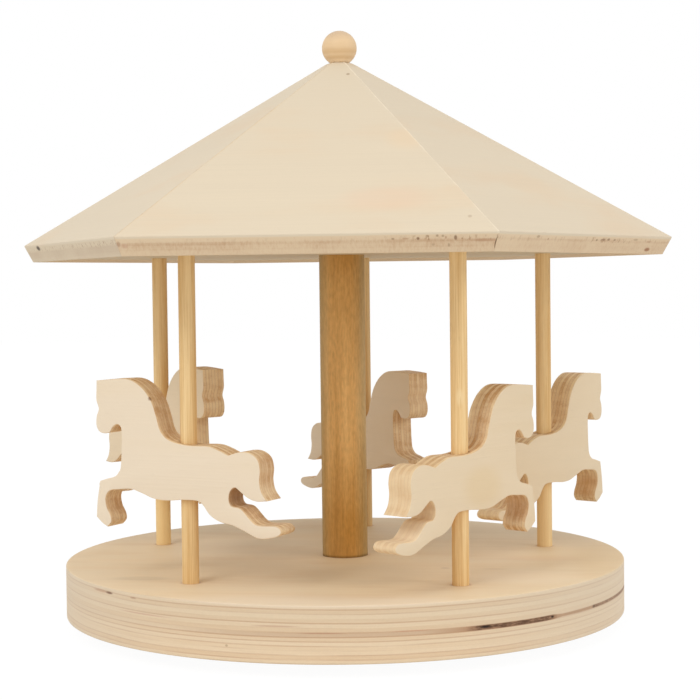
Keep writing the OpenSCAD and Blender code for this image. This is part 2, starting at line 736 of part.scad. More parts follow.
foot_plate();
foot_pads();
slip_ring();
base_disc();
centre_column();
pole(1);  // pole_1
pole(2);  // pole_2
pole(3);  // pole_3
pole(4);  // pole_4
pole(5);  // pole_5
horse(1);  // horse_1
horse(2);  // horse_2
horse(3);  // horse_3
horse(4);  // horse_4
horse(5);  // horse_5
ceiling_plate();
roof_panel(1);  // roof_panel_1
roof_panel(2);  // roof_panel_2
roof_panel(3);  // roof_panel_3
roof_panel(4);  // roof_panel_4
roof_panel(5);  // roof_panel_5
roof_panel(6);  // roof_panel_6
finial_ball();
finial_pin();
bedplate();
movement_screws();
spring_barrel();
barrel_cover();
mainspring();
winding_arbor();
retaining_clip();
crown_wheel();
drive_hub();
hub_screws();
pin_cylinder();
cylinder_arbor();
cylinder_pinion();
worm_wheel();
comb();
comb_screws();
governor_worm();
governor_arbor();
governor_fan();
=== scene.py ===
import json
from math import cos, pi, radians, sin, tan

import bpy
import numpy as np
from bpy.props import FloatProperty, FloatVectorProperty, IntProperty, PointerProperty
from mathutils import Matrix, Vector


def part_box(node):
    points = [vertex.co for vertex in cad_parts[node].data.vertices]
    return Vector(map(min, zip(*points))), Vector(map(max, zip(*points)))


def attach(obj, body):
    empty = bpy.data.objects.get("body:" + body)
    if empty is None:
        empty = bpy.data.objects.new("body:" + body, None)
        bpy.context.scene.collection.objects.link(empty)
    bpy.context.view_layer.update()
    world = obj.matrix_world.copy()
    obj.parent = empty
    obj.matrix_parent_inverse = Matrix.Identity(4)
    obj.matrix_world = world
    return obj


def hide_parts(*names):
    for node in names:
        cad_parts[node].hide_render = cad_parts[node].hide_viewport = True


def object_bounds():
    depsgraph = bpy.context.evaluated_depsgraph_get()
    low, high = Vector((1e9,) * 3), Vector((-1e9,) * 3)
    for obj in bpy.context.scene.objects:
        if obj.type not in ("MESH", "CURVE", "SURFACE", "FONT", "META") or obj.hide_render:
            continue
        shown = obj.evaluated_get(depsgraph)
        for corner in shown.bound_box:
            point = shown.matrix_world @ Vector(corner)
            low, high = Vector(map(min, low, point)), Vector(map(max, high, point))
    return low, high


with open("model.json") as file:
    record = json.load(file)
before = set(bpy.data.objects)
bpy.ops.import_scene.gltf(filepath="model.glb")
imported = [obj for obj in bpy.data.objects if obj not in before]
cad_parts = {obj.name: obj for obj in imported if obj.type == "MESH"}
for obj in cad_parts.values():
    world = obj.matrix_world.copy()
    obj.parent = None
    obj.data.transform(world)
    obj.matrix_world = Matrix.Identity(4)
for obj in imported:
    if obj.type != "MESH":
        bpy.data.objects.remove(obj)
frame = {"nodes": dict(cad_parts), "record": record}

bl_info = {
    "name": "Carousel Music Box",
    "version": (1, 0, 0),
    "blender": (4, 5, 0),
    "location": "3D Viewport > Sidebar > Carousel",
    "description": "Builds a bare plywood carousel with sawn horses round its packed frame",
    "category": "Object",
}

CAD_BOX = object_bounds()
MM = 0.001
HORSES = 5
PANELS = 6

# Into how many parts the round pieces are divided, and the longest step along a dowel.
BOARD_TURNS, DOWEL_TURNS, COLUMN_TURNS, BALL_TURNS, BORE_TURNS = 1080, 64, 128, 96, 48
DOWEL_STEP = 4 * MM

# How many rows of points the ball and a horse's eased edge have, and how many columns a panel.
BALL_ROWS, EDGE_ROWS, PANEL_COLUMNS = 40, 5, 33

# The horse's outline as [forward, up] in millimetres, counterclockwise, and which of its points are
# corners. The pole stands at 0 forward, and 0 up is the underside of the hind hoof.
HORSE_OUTLINE = np.array([
    [33.3, 49.7], [27, 50.2], [20.3, 50.2], [15.2, 47.6], [11.6, 43.2], [9.6, 38],
    [8.2, 33.6], [5.6, 30.9], [1.5, 29.5], [-3.5, 28.9], [-10, 28.9], [-14, 27.8],
    [-17.7, 26.2], [-22, 27.4], [-25.8, 27.2], [-28.7, 25.2], [-29.6, 21.8], [-29.3, 18.2],
    [-30, 14.8], [-32, 12], [-28, 11.8], [-24.8, 12.8], [-22.2, 14.6], [-20.1, 15.9],
    [-18.4, 14.6], [-17.8, 12], [-18.8, 9.8], [-22.3, 9], [-26.3, 5.2], [-29, 4],
    [-35, 4.1], [-37, 2.7], [-36, 1.1], [-32, 0], [-28.2, 0], [-23.5, 1.9], [-19, 3.6],
    [-14.4, 4.5], [-10.6, 6.5], [-8, 9.6], [-5.8, 10.9], [0, 11], [6, 10.5], [11, 10.9],
    [16, 12.6], [20, 13.7], [24.5, 13.4], [28.6, 12.8], [30.3, 10.4], [29.9, 7.2],
    [28.5, 4.6], [28.2, 2.4], [29.7, 0.6], [31.8, 1.8], [34.1, 3.8], [33.7, 9],
    [32.5, 15.9], [29.5, 16.8], [26.4, 17.7], [24.5, 19.6], [23.9, 22.6], [23.6, 28],
    [23.5, 32.3], [23.9, 34.4], [25.2, 35.2], [26.8, 34.4], [28.2, 32.4], [30.4, 32],
    [32.5, 32.6], [33.6, 34.6], [33.5, 37.6], [32.6, 40.2], [33.5, 43.2], [33.4, 46.5]])
HORSE_CORNERS = (0, 12, 19, 52, 54, 56, 66)

# Heading of each horse in degrees, counterclockwise from +X.
HORSE_HEADINGS = (159, 53, 57, -45, -43)


def screen(red, green, blue):
    """A colour as a screen shows it, 0 to 255, turned into linear light."""
    shown = np.array([red, green, blue]) / 255
    linear = np.where(shown > 0.04045, ((shown + 0.055) / 1.055) ** 2.4, shown / 12.92)
    return tuple(float(c) for c in linear)


# ---- What a user can change ----


def length(name, default, description):
    """A length property in metres, with its default in millimetres."""
    return FloatProperty(name=name, description=description, default=default * MM, min=0.0,
                         unit="LENGTH")


def count(name, default, description):
    """A number of plies."""
    return IntProperty(name=name, description=description, default=default, min=3)


def colour(name, default, description):
    """A colour property, with its default as a screen shows it."""
    return FloatVectorProperty(name=name, description=description, default=screen(*default),
                               size=3, min=0.0, max=1.0, subtype="COLOR")


class CarouselSizes(bpy.types.PropertyGroup):
    """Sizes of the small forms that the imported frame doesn't hold."""

    board_ease: length("Board's eased edge", 0.6, "Rounding of the base board's two rims")
    panel_ease: length("Eave's eased edge", 0.9, "Rounding of each roof panel's upper eave edge")
    horse_ease: length("Horse's eased edge", 0.3, "Rounding of the sawn edges of the horses")
    dowel_ease: length("Dowel's eased end", 0.4, "Rounding of the ends of poles and column")
    eave_lip: length("Eave's lip", 0.3, "How far the sawn eave reaches below the packed one")
    hip_gap: length("Hip joint", 0.04, "Gap between two roof panels along a hip")
    open_joint: length("Open joint", 0.4, "Width of the front joint that gapes at the eave")
    pole_play: length("Pole's play", 0.05, "Room between a pole and the bore of its horse")
    board_plies: count("Board's plies", 13, "Layers of the base board")
    horse_plies: count("Horse's plies", 7, "Layers of a horse")


class CarouselColours(bpy.types.PropertyGroup):
    """Colours of the timbers, as a screen shows them in plain light."""

    roof_face: colour("Roof veneer", (224, 208, 182), "Face veneer of the roof panels")
    roof_face_warm: colour("Warm roof veneer", (226, 201, 169), "Warm patches of the face veneer")
    horse_face: colour("Horse veneer", (238, 220, 194), "Face veneer of the horses")
    horse_face_warm: colour("Warm horse veneer", (224, 198, 154), "Warm bands of that veneer")
    horse_edge: colour("Horse edge", (246, 221, 180), "Pale plies at the horses' sawn edge")
    horse_edge_deep: colour("Deep horse edge", (202, 153, 100), "Deep plies of that sawn edge")
    board_face: colour("Board veneer", (238, 216, 181), "Face veneer of the base board")
    board_face_warm: colour("Warm board veneer", (230, 202, 162), "Warm bands of the board's face")
    long_grain: colour("Long grain", (234, 212, 180), "Paler plies in the rim of the base board")
    end_grain: colour("End grain", (222, 193, 157), "Deeper plies in the rim of the base board")
    side_grain: colour("Side grain", (224, 207, 182), "Greyer wood at the two sides of the rim")
    glue_line: colour("Glue line", (190, 148, 116), "Thin lines between the plies")
    brown_ply: colour("Brown ply", (172, 120, 80), "The brown stretch of the board's middle ply")
    dark_ply: colour("Dark ply", (92, 62, 42), "The darkest stretch of the board's middle ply")
    eave_light: colour("Pale eave", (226, 202, 168), "Pale plies of the sawn eaves")
    eave_brown: colour("Brown eave", (186, 146, 110), "Brown plies of the sawn eaves")
    grey_eave: colour("Grey eave", (214, 204, 181), "Greyer wood of the eave at the left")
    torn_eave: colour("Torn eave", (158, 116, 82), "Torn spots in the eaves' upper plies")
    dowel_light: colour("Pale dowel", (246, 214, 160), "Pale streaks of the poles")
    dowel_dark: colour("Deep dowel", (219, 176, 116), "Deep streaks of the poles")
    column_light: colour("Pale column", (239, 191, 123), "Pale streaks of the column")
    column_dark: colour("Deep column", (195, 143, 79), "Deep streaks of the column")
    ball: colour("Ball", (233, 202, 160), "Wood of the ball on the peak")
    ball_top: colour("Ball's top", (194, 173, 151), "Greyer wood at the top of the ball")
    ball_band: colour("Ball's band", (211, 169, 115), "Deeper rings of the ball")
    # Painted light at the foot of the ball, against the shade where it meets the peak.
    ball_foot_light: colour("Ball's foot", (238, 218, 188), "Paler wood at the foot of the ball")
    ceiling: colour("Ceiling", (209, 188, 150), "Face of the ceiling plate")


# ---- Meshes ----


def box_of(node):
    """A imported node's lowest and highest corners, as arrays."""
    low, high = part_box(node)
    return np.array(low), np.array(high)


def dowel_place(node):
    """An upright round node's middle, radius, foot and top."""
    low, high = box_of(node)
    return (low + high)[:2] / 2, (high[0] - low[0]) / 2, low[2], high[2]


def packed_points(node):
    """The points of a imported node's mesh, as rows of an array."""
    mesh = frame["nodes"][node].data
    points = np.empty(len(mesh.vertices) * 3)
    mesh.vertices.foreach_get("co", points)
    return points.reshape(-1, 3)


def turned_about_z(points, angle):
    """A grid of points as a list, turned about +Z by an angle in radians."""
    spin = np.array([[cos(angle), -sin(angle), 0], [sin(angle), cos(angle), 0], [0, 0, 1]])
    return points.reshape(-1, 3) @ spin.T


def build(name, points, faces, sharp=40):
    """A mesh object from an array of points and arrays of faces, smooth but for its sharp edges."""
    mesh = bpy.data.meshes.new(name)
    faces = [face for group in faces for face in np.asarray(group).tolist()]
    mesh.from_pydata(points.tolist(), [], faces)
    mesh.polygons.foreach_set("use_smooth", np.ones(len(mesh.polygons), bool))
    mesh.set_sharp_from_angle(angle=radians(sharp))
    mesh.validate()
    piece = bpy.data.objects.new(name, mesh)
    bpy.context.scene.collection.objects.link(piece)
    return piece


def strips(rows, columns, first=0, wrap=True):
    """Quads between neighbouring rows of a grid whose points are numbered row by row."""
    down = np.arange(rows - 1)[:, None] * columns + first
    here = np.arange(columns if wrap else columns - 1)[None, :]
    there = (here + 1) % columns
    return np.stack([down + here, down + columns + here, down + columns + there, down + there],
                    axis=-1).reshape(-1, 4)


def rounded(corners, ease, steps=5):
    """A profile with each inner corner q turned into a curve that leaves it at the distance ease:
    (1-t)^2 start + 2t(1-t) q + t^2 end, for t from 0 to 1. A corner may have its own ease."""
    corners = np.asarray(corners, float)
    q = corners[1:-1]
    back, ahead = corners[:-2] - q, corners[2:] - q
    reach = np.broadcast_to(ease, len(q))[:, None]
    start = q + back / np.linalg.norm(back, axis=1, keepdims=True) * reach
    end = q + ahead / np.linalg.norm(ahead, axis=1, keepdims=True) * reach
    t = np.linspace(0, 1, steps)[None, :, None]
    curve = (1 - t) ** 2 * start[:, None] + 2 * t * (1 - t) * q[:, None] + t ** 2 * end[:, None]
    return np.vstack([corners[:1], curve.reshape(-1, 2), corners[-1:]])


def filled(profile, spacing):
    """A profile with points put in so that no step is longer than spacing, which may be an array
    with a value for each step."""
    run = np.diff(profile, axis=0)
    counts = np.maximum(np.ceil(np.linalg.norm(run, axis=1) / spacing), 1).astype(int)
    step = np.repeat(np.arange(len(run)), counts)
    share = (np.arange(len(step)) - (np.cumsum(counts) - counts)[step]) / counts[step]
    return np.vstack([profile[step] + share[:, None] * run[step], profile[-1:]])


def lathe(name, profile, turns, centre=(0, 0), shift=None, sharp=40):
    """A solid turned from a profile of (radius, height) that starts and ends on the axis, from the
    top down: point (i, j) is at radius r_i, height z_i and the angle 2 pi j / turns. shift(angle,
    radius, height) may move a point out along its radius."""
    radius, height = profile[1:-1].T[:, :, None]
    angle = (2 * pi * np.arange(turns) / turns)[None, :]
    if shift:
        radius = radius + shift(angle, radius, height)
    ring = np.stack(np.broadcast_arrays(centre[0] + radius * np.cos(angle),
                                        centre[1] + radius * np.sin(angle), height), axis=-1)
    ends = np.array([[*centre, profile[0, 1]], [*centre, profile[-1, 1]]])
    points = np.vstack([ring.reshape(-1, 3), ends])
    rows = len(profile) - 2
    here = np.arange(turns)
    there = (here + 1) % turns
    top, bottom, last = len(points) - 2, len(points) - 1, (rows - 1) * turns
    caps = np.vstack([np.stack([np.full(turns, top), here, there], axis=-1),
                      np.stack([np.full(turns, bottom), last + there, last + here], axis=-1)])
    return build(name, points, [strips(rows, turns), caps], sharp)


def dowel(name, centre, radius, low, high, ease, spread, turns=DOWEL_TURNS):
    """A dowel from low to high, out of round by spread cos(5 angle + 25 z + 90 x) at the height z,
    where x is the place of its axis, so that no two are alike."""
    profile = rounded([(0, high), (radius, high), (radius, low), (0, low)], ease)

    def shift(angle, r, z):
        return spread * (r / radius) * np.cos(5 * angle + 25 * z + 90 * centre[0])

    return lathe(name, filled(profile, DOWEL_STEP), turns, centre, shift)


def finish_piece(piece, body, material, node):
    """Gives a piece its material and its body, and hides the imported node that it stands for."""
    piece.data.materials.append(material)
    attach(piece, body)
    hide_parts(node)


def refinish(node, material):
    """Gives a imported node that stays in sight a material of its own."""
    materials = frame["nodes"][node].data.materials
    materials.clear()
    materials.append(material)


def drill(piece, centre, radius, low, high):
    """Cuts an upright bore through a piece and keeps the result as its mesh."""
    bore = np.array([(0, high), (radius, high), (radius, low), (0, low)])
    cutter = lathe("cutter", bore, BORE_TURNS, centre)
    cut = piece.modifiers.new("bore", "BOOLEAN")
    cut.object, cut.operation, cut.solver = cutter, "DIFFERENCE", "EXACT"
    bpy.context.view_layer.update()
    whole = piece.evaluated_get(bpy.context.evaluated_depsgraph_get())
    cut_mesh = bpy.data.meshes.new_from_object(whole)
    piece.modifiers.clear()
    piece.data = cut_mesh
    bpy.data.objects.remove(cutter)


# ---- Shader maths ----


class Wire:
    """An output of a material's nodes. Arithmetic on wires adds Math nodes."""

    def __init__(self, recipe, socket):
        self.recipe, self.socket = recipe, socket

    def math(self, operation, *others):
        return self.recipe.node("Math", [self, *others], operation=operation)

    def __add__(self, other):
        return self.math("ADD", other)

    def __sub__(self, other):
        return self.math("SUBTRACT", other)

    def __mul__(self, other):
        return self.math("MULTIPLY", other)

    def __truediv__(self, other):
        return self.math("DIVIDE", other)

    def __rsub__(self, other):
        return self.recipe.node("Math", [other, self], operation="SUBTRACT")

    def __mod__(self, other):
        return self.math("FLOORED_MODULO", other)

    def __neg__(self):
        return self.math("MULTIPLY", -1.0)

    def __abs__(self):
        return self.math("ABSOLUTE")

    __radd__ = __add__

    def floor(self):
        return self.math("FLOOR")

    def high(self, other):
        return self.math("MAXIMUM", other)


class Recipe:
    """A material and the one way to add a node to it. Places are in millimetres."""

    def __init__(self, name, owner=None):
        """Starts a material of that name, or takes over the nodes of an owner such as a world."""
        self.material = owner or bpy.data.materials.new(name)
        self.material.use_nodes = True
        self.tree = self.material.node_tree
        self.tree.nodes.clear()

    def node(self, kind, inputs=(), output=0, stops=None, **settings):
        """Adds a node: its settings and a ramp's stops first, then the value or wire of each input,
        by number or name. Returns the wire of one output, or the node if it has none."""
        made = self.tree.nodes.new("ShaderNode" + kind)
        for key, value in settings.items():
            setattr(made, key, value)
        if stops:
            ramp = made.color_ramp
            for place, tone in stops:
                ramp.elements.new(place).color = (tone, tone, tone, 1)
            ramp.elements.remove(ramp.elements[0])
            ramp.elements.remove(ramp.elements[len(ramp.elements) - 1])
        for key, value in (inputs.items() if isinstance(inputs, dict) else enumerate(inputs)):
            if isinstance(value, Wire):
                self.tree.links.new(value.socket, made.inputs[key])
            else:
                made.inputs[key].default_value = value
        return Wire(self, made.outputs[output]) if len(made.outputs) else made

    def vector(self, operation, *inputs, output=0):
        """Vector Math on places, directions or colours."""
        return self.node("VectorMath", inputs, output, operation=operation)

    def place(self):
        """Object coordinates in millimetres."""
        return self.tint(self.node("TexCoord", output="Object"), 1 / MM)

    def facing(self):
        """The surface's direction in the piece's own frame."""
        return self.node("TexCoord", output="Normal")

    def turned(self, vector, centre=(0, 0, 0), turn=(0, 0, 0)):
        """A place or direction as seen from a frame at centre that is turned by Euler angles."""
        return self.node("Mapping", {"Vector": vector, "Location": centre, "Rotation": turn},
                         vector_type="TEXTURE")

    def split(self, vector):
        """The three parts of a vector."""
        wire = self.node("SeparateXYZ", [vector])
        return [Wire(self, socket) for socket in wire.socket.node.outputs]

    def noise(self, vector, stretch, detail=2.0, rough=0.5, seed=0.0):
        """Noise of so many cells per millimetre: one number, or one for each axis."""
        spread = self.vector("MULTIPLY", vector, tuple(np.broadcast_to(stretch, 3)))
        moved = self.vector("ADD", spread, (seed, 1.7 * seed, 2.3 * seed))
        return self.node("TexNoise", {"Vector": moved, "Scale": 1.0, "Detail": detail,
                                      "Roughness": rough})

    def chance(self, number):
        """A random share for each whole number."""
        return self.node("TexWhiteNoise", {"W": number}, noise_dimensions="1D")

    def smooth(self, value, low, high, start=0.0, end=1.0):
        """Goes smoothly from start to end as value goes from low to high."""
        return self.node("MapRange", [value, low, high, start, end],
                         interpolation_type="SMOOTHSTEP")

    def ramp(self, value, stops):
        """A share that runs in straight lines between stops of (value, share)."""
        return self.node("ValToRGB", [value], stops=stops)

    def mix(self, factor, first, second):
        """A colour between two colours."""
        first, second = (c if isinstance(c, Wire) else (*c, 1) for c in (first, second))
        return self.node("Mix", {0: factor, 6: first, 7: second}, output=2, data_type="RGBA")

    def tint(self, tone, factor):
        """A colour or vector times a number."""
        return self.node("VectorMath", {0: tone, "Scale": factor}, operation="SCALE")

    def gap(self, place, centre, size):
        """0 at centre and 1 on an ellipsoid of that size round it, growing outwards."""
        away = self.vector("DIVIDE", self.vector("SUBTRACT", place, centre), size)
        return self.vector("LENGTH", away, output=1)

    def surface(self, tone, roughness, height, depth, shine=0.3, metal=0.0):
        """Ends the material with its colour, roughness and a bump of that depth in millimetres."""
        bump = self.node("Bump", {"Height": height, "Distance": depth * MM, "Strength": 1.0})
        shader = self.node("BsdfPrincipled", {
            "Base Color": tone, "Roughness": roughness, "Normal": bump,
            "Specular IOR Level": shine, "Metallic": metal})
        self.node("OutputMaterial", [shader])
        return self.material


def veneer(recipe, plank, seed, fine, broad):
    """The tone, the bands and the lines of a flat-cut face, whose grain runs along the plank's
    first axis: fine lines, broad soft bands and short dark pores."""
    lines = recipe.noise(plank, (0.012, 1.1, 1.1), detail=4.0, rough=0.6, seed=seed)
    bands = recipe.noise(plank, (0.010, 0.075, 0.075), seed=seed + 3)
    pores = recipe.noise(plank, (0.22, 3.4, 3.4), detail=1.0, seed=seed + 7)
    tone = 1 + (lines - 0.5) * fine + (bands - 0.5) * broad
    return tone - recipe.smooth(pores, 0.68, 0.8) * 0.05, bands, lines


def marks_of(table, number):
    """The marks in a table that belong to one piece of a group, their colours in linear light."""
    return [(*mark, screen(*shade)) for owner, *mark, shade in table if owner == number]


def stained(recipe, tone, place, marks):
    """A tone with small marks on it, each a soft ellipsoid: centre, size, strength and colour."""
    for centre, size, strength, shade in marks:
        mark = recipe.smooth(recipe.gap(place, centre, size), 0.4, 1.1, strength, 0.0)
        tone = recipe.mix(mark, tone, shade)
    return tone


# ---- Materials ----


# How high the board's middle ply lies over the underside, in millimetres, and where its brown and
# its dark fade out on each side of that.
MIDDLE_PLY, BROWN_REACH, DARK_REACH = 9.15, (0.6, 1.0), (0.5, 0.9)


def board_plywood(colours, sizes):
    """The base board: face veneers, and the plies round its rim with a dark one in the middle."""
    recipe = Recipe("board_plywood")
    place, facing = recipe.place(), recipe.facing()
    x, y, z = recipe.split(place)
    up = recipe.split(facing)[2]
    low, high = box_of("base_disc")
    thick = (high[2] - low[2]) / MM
    depth = z - low[2] / MM
    drift = (recipe.noise(place, (0.02, 0.02, 0.05), detail=1.0, seed=4) - 0.5) * 0.8
    drift = drift * recipe.smooth(abs(depth - thick / 2), 0.5, 3.0)
    ply = (depth + drift) / (thick / sizes.board_plies)
    number, joint = ply.floor(), (ply + 0.5).floor()
    across = number % 2
    side = abs(x) / recipe.node("Math", [x * x + y * y], operation="SQRT")
    own, glued = recipe.chance(number + 0.37), recipe.chance(joint + 5.61)
    threads = recipe.noise(place, (0.05, 0.05, 2.6), detail=3.0, rough=0.6, seed=1)
    flecks = recipe.noise(place, (0.8, 0.8, 1.6), detail=3.0, rough=0.7, seed=2)
    wander = recipe.noise(place, (0.035, 0.035, 0.5), seed=6)
    glue = recipe.smooth(abs(ply - joint), 0.05, 0.22, 1.0, 0.0)
    glue = glue * recipe.smooth(glued + (wander - 0.5) * 1.4, 0.0, 0.8)
    deep = recipe.smooth(across * 0.45 + own * 0.35 + (threads - 0.5) * 0.9, -0.1, 1.1)
    cut = recipe.mix(deep, colours.long_grain, colours.end_grain)
    cut = recipe.mix(glue * 0.5, cut, colours.glue_line)
    cut = recipe.tint(cut, recipe.smooth(depth, 1.0, 17.0, 1.05, 0.95) + (flecks - 0.5) * 0.10)
    cut = recipe.mix(recipe.smooth(side, 0.35, 1.0) * 0.55, cut, colours.side_grain)

    # The middle ply: how brown, how dark and how thin it is, by the angle round from +X.
    angle = recipe.node("Math", [y, x], operation="ARCTAN2") * (0.5 / pi) + 0.5
    brown, dark, thin = (recipe.ramp(angle, [(a / 360 + 0.5, share) for a, share in stretch])
                         for stretch in (BROWN_STRETCH, DARK_STRETCH, THIN_STRETCH))
    away = abs(depth - MIDDLE_PLY) + thin
    dashes = recipe.noise(place, (0.30, 0.30, 1.6), detail=4.0, rough=0.75, seed=9)
    brown = brown * recipe.smooth(away, *BROWN_REACH, 0.85, 0.0)
    dark = dark * recipe.smooth(away, *DARK_REACH, 1.0, 0.0)
    cut = recipe.mix(brown, cut, colours.brown_ply)
    cut = recipe.mix(dark * recipe.smooth(dashes, 0.3, 0.6, 0.35, 1.0), cut, colours.dark_ply)

    tone, bands, lines = veneer(recipe, place, 11, fine=0.09, broad=0.09)
    face = recipe.mix(recipe.smooth(bands, 0.4, 0.75) * 0.4, colours.board_face,
                      colours.board_face_warm)
    mottle = recipe.noise(place, (0.028, 0.10, 0.10), seed=21)
    face = recipe.mix(recipe.smooth(mottle, 0.48, 0.72) * 0.45, face, colours.board_face_warm)
    # Painted shade: the face darkens towards the back, where the roof shades it.
    tone = tone * (1 + (mottle - 0.5) * -0.05) * recipe.smooth(y, 0.0, 65.0, 1.0, 0.84)
    face = recipe.tint(face, tone)
    # Painted contact shade: a dark ring round the foot of the column and of each pole.
    face = stained(recipe, face, place, [(foot, (reach, reach, 4.0), 0.85, colours.brown_ply)
                                         for foot, reach in feet()])
    rim = recipe.smooth(abs(up), 0.55, 0.85)
    tone = stained(recipe, recipe.mix(rim, cut, face), place, BOARD_MARKS)
    height = lines * rim + (threads * 0.6 + flecks - glue * 0.5) * (1 - rim)
    return recipe.surface(tone, 0.62 + (flecks - 0.5) * 0.15, height, 0.05)


def high_of_board():
    """The height of the board's face, in millimetres."""
    return box_of("base_disc")[1][2] / MM


# How far the painted contact shade round a dowel's foot reaches past it, in millimetres.
FOOT_SHADE = 1.1


def feet():
    """Where the column and the poles stand on the board, and the reach of the painted contact shade
    there.
    """
    for node in ("centre_column", *(f"pole_{number}" for number in range(1, HORSES + 1))):
        low, high = box_of(node)
        middle = (low + high) / 2 / MM
        yield (middle[0], middle[1], high_of_board()), (high[0] - low[0]) / 2 / MM + FOOT_SHADE


# How brown, how dark and how much thinner the board's middle ply is at each angle, in degrees
# from +X.
BROWN_STRETCH = ((-179, 0.05), (-118, 0.10), (-104, 0.35), (-70, 0.45), (-60, 0.9), (-42, 0.9),
                 (-40, 0.7), (-5, 0.75), (8, 0.10), (90, 0.0), (150, 0.35), (179, 0.05))
DARK_STRETCH = ((-179, 0.0), (-62, 0.05), (-59.5, 1.0), (-43, 0.95), (-41, 0.15), (-29.5, 0.15),
                (-28.5, 0.65), (-6, 0.55), (0, 0.05), (90, 0.0), (179, 0.0))
THIN_STRETCH = ((-42, 0.0), (-40, 0.3), (-28, 0.25))


def on_rim(angle, height):
    """A point on the board's rim, by its angle and its millimetres above the board's underside."""
    low, high = box_of("base_disc")
    out = high[0] / MM
    return (out * cos(radians(angle)), out * sin(radians(angle)), low[2] / MM + height)


# Voids and flakes in the board's rim: angle, height, width, rise, strength and colour. The first
# VOIDS of them are dents as well.
VOIDS, VOID = 5, (38, 18, 4)
RIM_MARKS = (
    (-57.8, 9.3, 2.3, 0.42, 0.97, VOID),
    (-42.1, 9.2, 0.9, 0.5, 0.97, VOID),
    (-28.5, 9.1, 1.2, 0.6, 0.5, VOID),
    (-137.4, 16.7, 5.5, 0.55, 0.45, (176, 124, 96)),
    (-134.3, 16.6, 2.6, 0.5, 0.8, (118, 80, 58)),
    (-126.6, 16.6, 1.8, 0.4, 0.45, (160, 110, 84)),
    (-105.4, 5.0, 0.6, 0.5, 0.45, (160, 124, 84)),
    (-96.0, 11.75, 9.0, 0.35, 0.45, (186, 136, 112)),
    (-124.0, 12.0, 14.0, 0.3, 0.45, (196, 146, 124)),
    (-88.0, 9.8, 9.0, 0.3, 0.5, (176, 122, 92)),
    (-72.0, 9.9, 8.0, 0.25, 0.5, (196, 136, 108)),
)

# Paler and deeper patches of the board's face: place, size, strength and colour. The fourth and
# fifth rows are painted shadow of the column and the roof, and the last is painted shadow to the
# left of the first pole.
FACE_MARKS = (
    (37.8, -28.3, 2.0, 1.0, 0.35, (150, 112, 84)),
    (54.6, -29.7, 5.0, 1.5, 0.15, (160, 120, 92)),
    (72.0, -6.0, 17.0, 9.0, 0.16, (226, 176, 134)),
    (12.8, -42.8, 24.0, 30.0, 0.33, (197, 178, 150)),
    (-26.1, 17.2, 44.0, 26.0, 0.31, (197, 178, 150)),
    (93.6, -9.7, 15.0, 50.0, 0.35, (227, 198, 151)),
    (65.4, -45.0, 22.0, 18.0, 0.35, (250, 233, 206)),
    (71.6, 8.0, 18.0, 22.0, 0.3, (252, 228, 186)),
    (0.0, -94.0, 70.0, 14.0, 0.3, (242, 224, 204)),
    (-63.0, -53.4, 12.0, 5.0, 0.2, (176, 156, 126)),
)
BOARD_MARKS = [(on_rim(angle, height), (width, width, rise), strength, screen(*shade))
               for angle, height, width, rise, strength, shade in RIM_MARKS]
BOARD_MARKS += [((x, y, high_of_board()), (width, depth, 1.0), strength, screen(*shade))
                for x, y, width, depth, strength, shade in FACE_MARKS]


def hexagon_turn(number):
    """The turn of a roof panel about +Z, in radians, from the one at the front."""
    return 2 * pi / PANELS * (number - 1)


# How far down the eave the torn line runs, as a share of the panel's thickness.
TORN_LINE = 0.27


